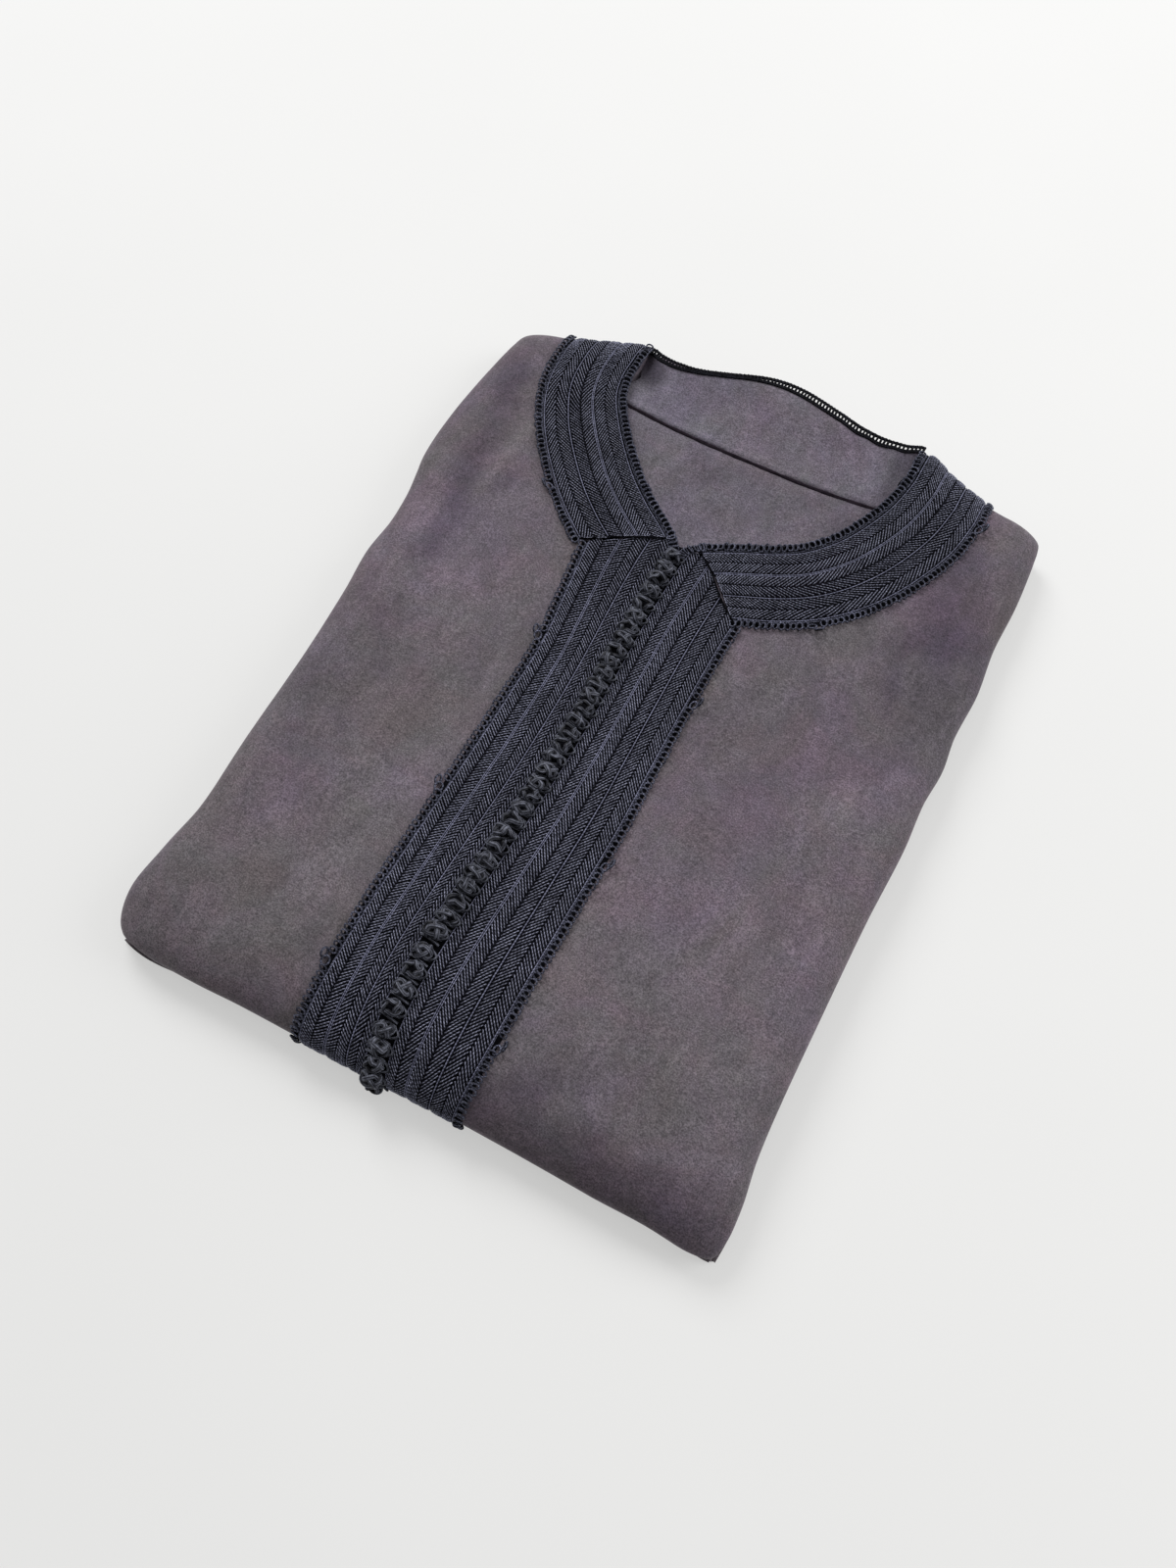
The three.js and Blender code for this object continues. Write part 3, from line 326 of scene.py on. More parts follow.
class NeckCurve:
    """A smooth curve through the rows of a neck table, measured along its length; w counts outward from the neck edge."""

    def __init__(self, tab, side):
        self.side = side
        rows = np.stack([tab["x"], tab["y"], tab["width"]], axis=1)
        n, dense = len(rows), []
        for i in range(n - 1):
            p0, p1, p2, p3 = rows[max(i - 1, 0)], rows[i], rows[i + 1], rows[min(i + 2, n - 1)]
            for t in np.arange(10) / 10:
                dense.append(0.5 * (2 * p1 + (p2 - p0) * t + (2 * p0 - 5 * p1 + 4 * p2 - p3) * t * t + (3 * p1 - p0 - 3 * p2 + p3) * t**3))
        dense.append(rows[-1])
        self.d = np.array(dense)
        step = np.hypot(*(self.d[1:, :2] - self.d[:-1, :2]).T)
        self.s = np.concatenate([[0], np.cumsum(step)])
        self.length = self.s[-1]

    def at(self, v):
        q = clamp(np.asarray(v, float), 0, self.length)
        return [np.interp(q, self.s, self.d[:, k]) for k in range(3)]

    def point(self, v, w, outer=False):
        x, y, width = self.at(v)
        x0, y0, _ = self.at(np.asarray(v) - 3)
        x1, y1, _ = self.at(np.asarray(v) + 3)
        n = np.hypot(x1 - x0, y1 - y0)
        tx, ty = (x1 - x0) / n, (y1 - y0) / n
        d = width - w if outer else w
        return x - ty * d * self.side, y + tx * d * self.side

    def where_y(self, y, w):
        """Length along the curve at which the line w outward reaches plan y."""
        y = np.asarray(y, float)
        lo, hi = np.zeros(y.shape), np.full(y.shape, self.length)
        for _ in range(32):
            m = (lo + hi) / 2
            below = self.point(m, w)[1] < y
            lo, hi = np.where(below, m, lo), np.where(below, hi, m)
        return (lo + hi) / 2


neck_right, neck_left = NeckCurve(NECK_RIGHT, 1), NeckCurve(NECK_LEFT, -1)


def mitre_start(curve, mitre, w, outer, clear):
    nx, ny = -(mitre["y2"] - mitre["y1"]), mitre["x2"] - mitre["x1"]
    n = math.hypot(nx, ny)
    sx, sy = curve.point(curve.length, w, outer)
    sign = math.copysign(1, (sx - mitre["x1"]) * nx + (sy - mitre["y1"]) * ny)

    def beyond(s):
        px, py = curve.point(s, w, outer)
        return sign * ((px - mitre["x1"]) * nx + (py - mitre["y1"]) * ny) / n - clear

    if beyond(0) > 0:
        return 0.0
    lo, hi = -0.01, curve.length * 0.6
    for _ in range(40):
        m = (lo + hi) / 2
        lo, hi = (m, hi) if beyond(m) < 0 else (lo, m)
    return (lo + hi) / 2


# ---- Mesh making -------------------------------------------------------------------------------------------
def grid_faces(rows, cols, base=0, flip=False):
    p = base + np.arange(rows - 1)[:, None] * cols + np.arange(cols - 1)[None, :]
    q = np.stack([p, p + 1, p + cols + 1, p + cols], axis=-1).reshape(-1, 4)
    return q[:, ::-1] if flip else q


def signed_volume(verts, quads, tris):
    total = 0.0
    for a, b, c in [(0, 1, 2), (0, 2, 3)] if len(quads) else []:
        p, q, r = verts[quads[:, a]], verts[quads[:, b]], verts[quads[:, c]]
        total += np.einsum("ij,ij->i", p, np.cross(q, r)).sum()
    if len(tris):
        total += np.einsum("ij,ij->i", verts[tris[:, 0]], np.cross(verts[tris[:, 1]], verts[tris[:, 2]])).sum()
    return total


def make(name, verts, quads, tris=None, uv=None, sharp=None, slot="cloth", material=None, nap_and_shade=None):
    """An object from points in millimetres, faces turned outward."""
    quads = np.asarray(quads, int).reshape(-1, 4) if quads is not None else np.zeros((0, 4), int)
    tris = np.asarray(tris, int).reshape(-1, 3) if tris is not None else np.zeros((0, 3), int)
    verts = np.asarray(verts, float)
    if signed_volume(verts - verts.mean(axis=0), quads, tris) < 0:
        quads, tris = quads[:, ::-1], tris[:, ::-1]
    me = bpy.data.meshes.new(name)
    loops = np.concatenate([quads.ravel(), tris.ravel()])
    starts = np.concatenate([np.arange(len(quads)) * 4, len(quads) * 4 + np.arange(len(tris)) * 3])
    me.vertices.add(len(verts))
    me.vertices.foreach_set("co", ((verts + OFFSET) * MM).astype(np.float32).ravel())
    me.loops.add(len(loops))
    me.loops.foreach_set("vertex_index", loops.astype(np.int32))
    me.polygons.add(len(starts))
    me.polygons.foreach_set("loop_start", starts.astype(np.int32))
    me.update(calc_edges=True)
    me.validate()
    me.polygons.foreach_set("use_smooth", np.ones(len(me.polygons), bool))
    if uv is not None:
        layer = me.uv_layers.new(name="UVMap")
        index = np.zeros(len(me.loops), np.int32)
        me.loops.foreach_get("vertex_index", index)
        layer.data.foreach_set("uv", np.asarray(uv, np.float32)[index].ravel())
    # marks of nap and of painted shade, carried on the points for the cloth's material
    if nap_and_shade is not None:
        layer = me.attributes.new("nap_and_shade", "FLOAT_COLOR", "POINT")
        layer.data.foreach_set("color", np.asarray(nap_and_shade, np.float32).ravel())
    if sharp is not None:
        me.set_sharp_from_angle(angle=math.radians(sharp))
    o = bpy.data.objects.new(name, me)
    bpy.context.scene.collection.objects.link(o)
    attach(o, "root")
    if material is not None:
        me.materials.append(material)
    return o


def closed_wall(outer, inner):
    """Points and faces of a closed solid between two grids of points."""
    rows, cols, _ = outer.shape
    n = rows * cols
    idx = np.arange(n).reshape(rows, cols)
    border = np.concatenate([idx[0, :-1], idx[:-1, -1], idx[-1, :0:-1], idx[:0:-1, 0]])
    nxt = np.roll(border, -1)
    verts = np.concatenate([outer.reshape(-1, 3), inner.reshape(-1, 3)])
    quads = np.concatenate([grid_faces(rows, cols), grid_faces(rows, cols, n, True), np.stack([border + n, nxt + n, nxt, border], axis=-1)])
    return verts, quads


class Heap:
    """Many small shapes joined into one mesh."""

    def __init__(self):
        self.v, self.q, self.t, self.uv, self.n = [], [], [], [], 0

    def add(self, verts, quads=None, tris=None, uv=None):
        verts = np.asarray(verts, float).reshape(-1, 3)
        self.v.append(verts)
        self.uv.append(np.zeros((len(verts), 2)) if uv is None else uv)
        if quads is not None and len(quads):
            self.q.append(np.asarray(quads, int) + self.n)
        if tris is not None and len(tris):
            self.t.append(np.asarray(tris, int) + self.n)
        self.n += len(verts)

    def build(self, name, **words):
        q = np.concatenate(self.q) if self.q else None
        t = np.concatenate(self.t) if self.t else None
        return make(name, np.concatenate(self.v), q, t, uv=np.concatenate(self.uv), **words)


def tube(points, radius, sides=6, up=None, closed=False, flat=1.0):
    """A round strand along points, with capped ends unless it is a closed loop. flat squeezes it along up."""
    p = np.asarray(points, float)
    n = len(p)
    if closed:
        tangent = unit(np.roll(p, -1, axis=0) - np.roll(p, 1, axis=0))
    else:
        tangent = unit(np.gradient(p, axis=0))
    up = np.broadcast_to(np.asarray([0.0, 0.0, 1.0] if up is None else up, float), p.shape)
    side = unit(np.cross(tangent, up))
    lift = unit(np.cross(side, tangent))
    r = np.broadcast_to(np.asarray(radius, float), (n,))[:, None, None]
    w = np.arange(sides) * 2 * np.pi / sides
    ring = p[:, None, :] + r * (np.cos(w)[None, :, None] * side[:, None, :] + flat * np.sin(w)[None, :, None] * lift[:, None, :])
    verts = ring.reshape(-1, 3)
    run = np.concatenate([[0], np.cumsum(np.linalg.norm(np.diff(p, axis=0), axis=-1))])
    uv = np.stack([np.repeat(run, sides) / 10, np.tile(np.arange(sides) / sides, n)], axis=-1)
    k, j = np.arange(n if closed else n - 1)[:, None], np.arange(sides)[None, :]
    a, b = (k % n) * sides, ((k + 1) % n) * sides
    quads = np.stack([a + j, a + (j + 1) % sides, b + (j + 1) % sides, b + j], axis=-1).reshape(-1, 4)
    tris = np.zeros((0, 3), int)
    if not closed:
        verts = np.concatenate([verts, p[:1], p[-1:]])
        uv = np.concatenate([uv, [[0, 0.5], [run[-1] / 10, 0.5]]])
        j = np.arange(sides)
        first = np.stack([np.full(sides, n * sides), (j + 1) % sides, j], axis=-1)
        last = np.stack([np.full(sides, n * sides + 1), (n - 1) * sides + j, (n - 1) * sides + (j + 1) % sides], axis=-1)
        tris = np.concatenate([first, last])
    # turned outward, shape by shape
    if signed_volume(verts - verts.mean(axis=0), quads, tris) < 0:
        quads, tris = quads[:, ::-1], tris[:, ::-1]
    return verts, quads, tris, uv


def place(template, origin, x, y, z, scale=1.0):
    """A template's points turned to the axes x, y, z and set at origin."""
    v = template * scale
    return origin + v[:, 0:1] * x + v[:, 1:2] * y + v[:, 2:3] * z


# ---- Materials ----------------------------------------------------------------------------------------------
def srgb(r, g, b):
    def lin(c):
        c = c / 255
        return c / 12.92 if c <= 0.04045 else ((c + 0.055) / 1.055) ** 2.4

    return (lin(r), lin(g), lin(b), 1.0)


class Nodes:
    """A short way to write a node material."""

    def __init__(self, name, **sockets):
        self.mat = bpy.data.materials.new(name)
        self.mat.use_nodes = True
        self.tree = self.mat.node_tree
        self.bsdf = self.tree.nodes["Principled BSDF"]
        for key, value in sockets.items():
            self.bsdf.inputs[key.replace("_", " ")].default_value = value

    def node(self, kind, **settings):
        n = self.tree.nodes.new(kind)
        for key, value in settings.items():
            setattr(n, key, value)
        return n

    def link(self, a, b):
        self.tree.links.new(a, b)

    def coords(self, uv=False):
        n = self.node("ShaderNodeTexCoord")
        return n.outputs["UV" if uv else "Object"]

    def scaled(self, source, scale):
        m = self.node("ShaderNodeMapping")
        m.inputs["Scale"].default_value = scale
        self.link(source, m.inputs["Vector"])
        return m.outputs["Vector"]

    def noise(self, vector, scale, detail=4.0, rough=0.55, distortion=0.0):
        n = self.node("ShaderNodeTexNoise")
        n.inputs["Scale"].default_value = scale
        n.inputs["Detail"].default_value = detail
        n.inputs["Roughness"].default_value = rough
        n.inputs["Distortion"].default_value = distortion
        self.link(vector, n.inputs["Vector"])
        return n.outputs["Fac"]

    def ramp(self, fac, *stops):
        n = self.node("ShaderNodeValToRGB")
        el = n.color_ramp.elements
        while len(el) < len(stops):
            el.new(0.5)
        for e, (pos, colour) in zip(el, stops):
            e.position = pos
            e.color = colour
        self.link(fac, n.inputs["Fac"])
        return n.outputs["Color"]

    def mixed(self, fac, a, b, blend="MIX"):
        n = self.node("ShaderNodeMix", data_type="RGBA", blend_type=blend)
        for value, socket in ((fac, n.inputs[0]), (a, n.inputs[6]), (b, n.inputs[7])):
            if isinstance(value, bpy.types.NodeSocket):
                self.link(value, socket)
            else:
                socket.default_value = value
        return n.outputs[2]

    def math(self, op, a, b=None, clamp_=False):
        n = self.node("ShaderNodeMath", operation=op, use_clamp=clamp_)
        for value, socket in ((a, n.inputs[0]), (b, n.inputs[1])):
            if value is None:
                continue
            if isinstance(value, bpy.types.NodeSocket):
                self.link(value, socket)
            else:
                socket.default_value = value
        return n.outputs[0]

    def bump(self, height, strength, distance):
        n = self.node("ShaderNodeBump")
        n.inputs["Strength"].default_value = strength
        n.inputs["Distance"].default_value = distance
        self.link(height, n.inputs["Height"])
        self.link(n.outputs["Normal"], self.bsdf.inputs["Normal"])
        return n


def cloth_material(name, tone=1.0, far=0.91, near=1.05, nap_and_shade=True, cool=1.0):
    """Peach-skin microfibre: mottled purple and warm grey, fine grain, a soft sheen at grazing edges; with painted
    shade darker toward the top of the garment (far) and lighter toward the bottom (near), and, where the mesh carries
    them, the nap and painted shade marks.
    """
    m = Nodes(name, Roughness=0.8, Sheen_Weight=0.26, Sheen_Roughness=0.34, Specular_IOR_Level=0.14)
    m.bsdf.inputs["Sheen Tint"].default_value = srgb(226, 220, 226)
    c = m.coords()
    blotch = m.noise(m.scaled(c, (1.0, 0.7, 1.0)), 30, 7, 0.66, 1.1)
    patch = m.noise(m.scaled(c, (0.8, 1.0, 1.0)), 12, 5, 0.6, 0.6)
    streak = m.noise(m.scaled(c, (1.0, 0.42, 1.0)), 62, 6, 0.7, 1.6)
    grain = m.noise(c, 1150, 2, 0.6)
    fleck = m.noise(m.scaled(c, (1.0, 1.4, 1.0)), 340, 4, 0.75)

    def shade(r, g, b):
        return tuple(v * tone * k for v, k in zip(srgb(r, g, b)[:3], (1.0, cool, cool * cool))) + (1.0,)

    base = m.ramp(blotch, (0.34, shade(91, 85, 90)), (0.46, shade(94, 88, 94)), (0.54, shade(96, 88.5, 96)), (0.66, shade(101, 93, 102)))
    wide = m.ramp(patch, (0.36, (0.92, 0.915, 0.92, 1)), (0.50, (1.01, 1.005, 1.01, 1)), (0.64, (1.10, 1.09, 1.105, 1)))
    wisps = m.ramp(streak, (0.36, (0.90, 0.895, 0.90, 1)), (0.52, (1.03, 1.025, 1.03, 1)), (0.68, (1.22, 1.215, 1.22, 1)))
    tint = m.mixed(1.0, m.mixed(1.0, base, wide, "MULTIPLY"), wisps, "MULTIPLY")
    fine = m.ramp(grain, (0.28, (0.50, 0.50, 0.50, 1)), (0.72, (1.50, 1.50, 1.50, 1)))
    spots = m.ramp(fleck, (0.34, (0.80, 0.80, 0.81, 1)), (0.66, (1.19, 1.18, 1.19, 1)))
    colour = m.mixed(1.0, m.mixed(1.0, tint, fine, "MULTIPLY"), spots, "MULTIPLY")
    # the dye reads purple toward the neck and a warmer grey lower down, in soft drifts
    place_ = m.node("ShaderNodeSeparateXYZ")
    m.link(c, place_.inputs[0])
    drift = m.noise(m.scaled(c, (1.0, 0.8, 1.0)), 15, 5, 0.62, 0.9)
    along = m.math("ADD", drift, m.math("MULTIPLY", place_.outputs[1], 0.42))
    hue = m.ramp(along, (0.36, (0.98, 1.03, 0.955, 1)), (0.50, (0.995, 1.014, 0.985, 1)), (0.64, (0.995, 0.985, 1.03, 1)))
    blush = m.ramp(m.noise(m.scaled(c, (0.7, 1.0, 1.0)), 24, 5, 0.65, 0.6), (0.42, (0.99, 1.01, 1.0, 1)), (0.62, (1.05, 0.985, 0.985, 1)))
    # painted shade: the cloth is darker toward the top of the garment (far) and lighter toward the bottom (near)
    depth = m.ramp(m.math("ADD", m.math("MULTIPLY", place_.outputs[1], 2.0), 0.5), (0.02, (near, near, near, 1)), (0.55, (1.0, 1.0, 1.0, 1)), (0.92, (far, far, far, 1)))
    # the nap and painted shade marks on the mesh darken or lighten the colour
    if nap_and_shade:
        nap_and_shade_attr = m.node("ShaderNodeAttribute", attribute_name="nap_and_shade")
        colour = m.mixed(1.0, colour, nap_and_shade_attr.outputs["Color"], "MULTIPLY")
    colour = m.mixed(1.0, m.mixed(1.0, m.mixed(1.0, colour, hue, "MULTIPLY"), blush, "MULTIPLY"), depth, "MULTIPLY")
    m.link(colour, m.bsdf.inputs["Base Color"])
    height = m.math("ADD", m.math("MULTIPLY", grain, 0.6), m.math("MULTIPLY", fleck, 1.0))
    m.bump(height, 0.5, 0.0003)
    return m.mat


def thread_material(name, low, high, rough=0.62, scale=420, sheen=0.25, twist=0.0, skew=1.0, twist_groove_shade=0.35, form=None, edge=0.14, crest_highlight=1.35, gleam=0.12):
    """Twisted viscose thread: fine light and dark strands with a slight gleam. twist is the length of one turn, in mm;
    each turn gets painted shade in its groove and a painted highlight on its crown, and the colour has painted shade
    darker toward the top of the garment.
    form says how the threads are made, a "ridge" or a "tube": their sides get painted shade, as if down in the gaps,
    and their crests a painted highlight."""
    m = Nodes(name, Roughness=rough, Sheen_Weight=sheen, Sheen_Roughness=0.35, Specular_IOR_Level=gleam)
    m.bsdf.inputs["Sheen Tint"].default_value = srgb(205, 208, 228)
    c = m.coords()
    strand = m.noise(c, scale, 3, 0.6)
    wide = m.noise(c, 38, 3, 0.5)
    base = m.ramp(strand, (0.32, low), (0.68, high))
    vary = m.ramp(wide, (0.35, (0.88, 0.88, 0.89, 1)), (0.65, (1.10, 1.10, 1.12, 1)))
    colour = m.mixed(1.0, base, vary, "MULTIPLY")
    height = m.noise(c, scale * 2.2, 2, 0.6)
    if twist:
        split = m.node("ShaderNodeSeparateXYZ")
        m.link(m.coords(True), split.inputs[0])
        turn = m.math("ADD", m.math("MULTIPLY", split.outputs[0], 10.0 / twist), m.math("MULTIPLY", split.outputs[1], skew))
        wave = m.math("ADD", m.math("MULTIPLY", m.math("SINE", m.math("MULTIPLY", turn, 2 * math.pi)), 0.5), 0.5)
        # painted shade in each groove of the twist, and a painted highlight on each turn
        twist_shade = m.ramp(wave, (0.05, (twist_groove_shade, twist_groove_shade, twist_groove_shade, 1)), (0.45, (1.0, 1.0, 1.0, 1)), (0.95, (1.18, 1.18, 1.18, 1)))
        colour = m.mixed(1.0, colour, twist_shade, "MULTIPLY")
        height = m.math("ADD", height, m.math("MULTIPLY", wave, 1.6))
        across = split.outputs[1]
        if form == "ridge":
            crown = m.math("SINE", m.math("MULTIPLY", m.math("ABSOLUTE", across), math.pi))
        elif form == "tube":
            crown = m.math("ADD", m.math("MULTIPLY", m.math("SINE", m.math("MULTIPLY", across, 2 * math.pi)), 0.5), 0.5)
        depth = m.node("ShaderNodeSeparateXYZ")
        m.link(c, depth.inputs[0])
        # painted shade: the thread's colour is darker toward the top of the garment
        painted_top_shade = m.ramp(m.math("ADD", m.math("MULTIPLY", depth.outputs[1], 2.0), 0.5), (0.1, (1.02, 1.02, 1.02, 1)), (0.58, (0.97, 0.97, 0.97, 1)), (0.70, (0.87, 0.87, 0.87, 1)), (0.90, (0.86, 0.86, 0.86, 1)))
        colour = m.mixed(1.0, colour, painted_top_shade, "MULTIPLY")
        if form:
            # painted shade down the thread's sides (edge) and a painted highlight along its crest
            shade = m.ramp(crown, (0.2, (edge, edge, edge * 1.1, 1)), (0.7, (0.62, 0.62, 0.63, 1)), (1.0, (crest_highlight, crest_highlight, crest_highlight, 1)))
            colour = m.mixed(1.0, colour, shade, "MULTIPLY")
    m.link(colour, m.bsdf.inputs["Base Color"])
    m.bump(height, 0.5, 0.00025)
    return m.mat


CLOTH_MAT = cloth_material("cloth_peach_skin", 0.96)
YOKE_MAT = cloth_material("cloth_inside_yoke", 1.15, far=0.94, cool=1.05)
INSIDE_MAT = cloth_material("cloth_inside_panel", 0.98, far=0.94, cool=1.03)
LAYER_MAT = cloth_material("cloth_under_layers", 0.92, nap_and_shade=False)
# the braid's ground is coloured near black: painted shade in the gaps between its threads
BRAID_GROUND_SHADE = thread_material("braid_ground_painted_shade", srgb(6, 6, 10), srgb(16, 16, 22), 0.85, sheen=0.0, gleam=0.02)
BRAID_THREAD = thread_material("braid_thread", srgb(60, 61, 73), srgb(124, 126, 143), 0.45, sheen=0.06, twist=1.9, skew=0.9, twist_groove_shade=0.22, form="ridge", edge=0.03, crest_highlight=1.7)
CORD_LINE = thread_material("braid_cord", srgb(74, 75, 91), srgb(116, 118, 138), 0.45, sheen=0.08, twist=1.7, twist_groove_shade=0.5, form="tube", edge=0.06, crest_highlight=1.4)
EDGE_MAT = thread_material("picot_cord", srgb(37, 38, 48), srgb(90, 92, 108), 0.45, sheen=0.06, twist=1.5, twist_groove_shade=0.5, form="tube", edge=0.04, crest_highlight=1.6)
LADDER_MAT = thread_material("ladder_cord", srgb(9, 9, 12), srgb(30, 30, 38), 0.7, sheen=0.0, twist=1.5, twist_groove_shade=0.35, gleam=0.06)
KNOT_MAT = thread_material("knot_cord", srgb(33, 34, 40), srgb(80, 82, 91), 0.5, 420, sheen=0.04, twist=11.0, skew=6.0, twist_groove_shade=0.22, form="tube", edge=0.03, crest_highlight=1.9, gleam=0.1)
# near black: painted shade inside the knots, in the channel under them and behind the edging loops; along the mitre
# seams it is the seam's own dark and painted shade
SHADE_BLACK_MAT = thread_material("painted_shade_black", srgb(5, 5, 8), srgb(14, 14, 18), 0.85, sheen=0.0, gleam=0.02)
# dark seam thread, darkened further as painted shade in the seam's fold
SEAM_AND_SHADE_MAT = thread_material("seam_thread_and_shade", srgb(22, 18, 23), srgb(40, 33, 40), 0.85, sheen=0.0, gleam=0.02)

# ---- The cloth ---------------------------------------------------------------------------------------------


def end_share(rim, share, height):
    return share + (1 - share) * (1 - height / rim)


SIDE_STOP = FLAT_X + SIDE_ARC * end_share(SIDE_RIM, 0.75, SIDE_END)
BOTTOM_STOP = FLAT_BOTTOM - BOTTOM_ARC * end_share(SIDE_RIM, 0.76, SIDE_END)
TOP_STOP = FLAT_TOP + TOP_ARC * end_share(TOP_RIM, 0.72, TOP_END)


def inner_edge(curve, s, b):
    centre = lookup(PLACKET, "y", "middle", b) + s * GAP / 2
    y = np.minimum(b, 236)
    x = curve.point(curve.where_y(y, NECK_EDGING), NECK_EDGING)[0]
    start_y = curve.point(0.0, NECK_EDGING)[1]
    x = np.minimum(x, centre) if s < 0 else np.maximum(x, centre)
    return np.where(y < start_y, centre, x)


def build_front(name, curve, s):
    rows = np.concatenate([np.linspace(BOTTOM_STOP, FLAT_BOTTOM, 27)[:-1], np.linspace(FLAT_BOTTOM, FLAT_TOP, 186)[:-1], np.linspace(FLAT_TOP, TOP_STOP, 18)])
    inner = inner_edge(curve, s, rows)
    flat = inner[:, None] + (s * FLAT_X - inner[:, None]) * np.linspace(0, 1, 56)[None, :]
    side = np.broadcast_to(s * np.linspace(FLAT_X, SIDE_STOP, 22)[1:], (len(rows), 21))
    a = np.concatenate([flat, side], axis=1)
    b = np.broadcast_to(rows[:, None], a.shape)
    p, n = skin(a, b), outward(a, b)
    # the cloth is a wall 0.9 mm thick, closed round its hidden hems
    verts, quads = closed_wall(p, p - n * 0.9)
    uv = np.concatenate([np.stack([a, b], axis=-1).reshape(-1, 2)] * 2) / 100
    nap_and_shade = np.concatenate([nap_and_shade_colour(NAP_AND_SHADE, p[..., 0], p[..., 1]).reshape(-1, 4)] * 2)
    o = make(name, verts, quads, uv=uv, sharp=60, slot="cloth", material=CLOTH_MAT, nap_and_shade=nap_and_shade)
    width = float(np.mean(np.abs(a[:, -1] - a[:, 0]))) * MM
    length = float(rows[-1] - rows[0]) * MM
    return o


front_right = build_front("front_right_cloth", neck_right, -1)
front_left = build_front("front_left_cloth", neck_left, 1)
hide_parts("front_right")
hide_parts("front_left")


def hollow_edge(curve, s, y, reach):
    """Sides of the hollow under the neck, a little wider than the neck hole."""
    yy = clamp(y, 90, 236)
    w = mix(reach, reach - HOLLOW_SPREAD - 1, smooth((yy - 196) / 22))
    x0, y0 = curve.point(np.zeros_like(yy), w)
    x = curve.point(curve.where_y(yy, w), w)[0]
    taper = mix(x0, -11 + s * (4 + reach * 0.3), clamp((y0 - yy) / np.maximum(y0 - 90, 1e-6), 0, 1))
    return np.where(y0 > yy, taper, x)


def lip_profile(lips, steps=7):
    """Heights and insets down a stack of rounded folds, from the highest fold to the ground."""
    out = []
    for k in range(len(lips["g0"]) - 1, -1, -1):
        for i in range(steps + (1 if k == 0 else 0)):
            u = i / steps
            full = math.sqrt(max(0.0, 1 - (2 * u - 1) ** 2))
            out.append((mix(lips["g1"][k], lips["g0"][k], u), lips["inset"][k] + lips["bulge"][k] * (1 - full), full, k))
    return out


# how far the back dips where it goes in under the collar at the shoulders
DIP = table("x dz", (-104, 11), (-97, 9.0), (-91, 6.0), (-84, 2.6), (-76, 0.6), (-68, 0.0), (56, 0.0), (66, 1.2), (74, 3.8), (81, 5.2), (88, 6.5))


def back_dip(x, y):
    return lookup(DIP, "x", "dz", x) * smooth((y - 210) / 22)


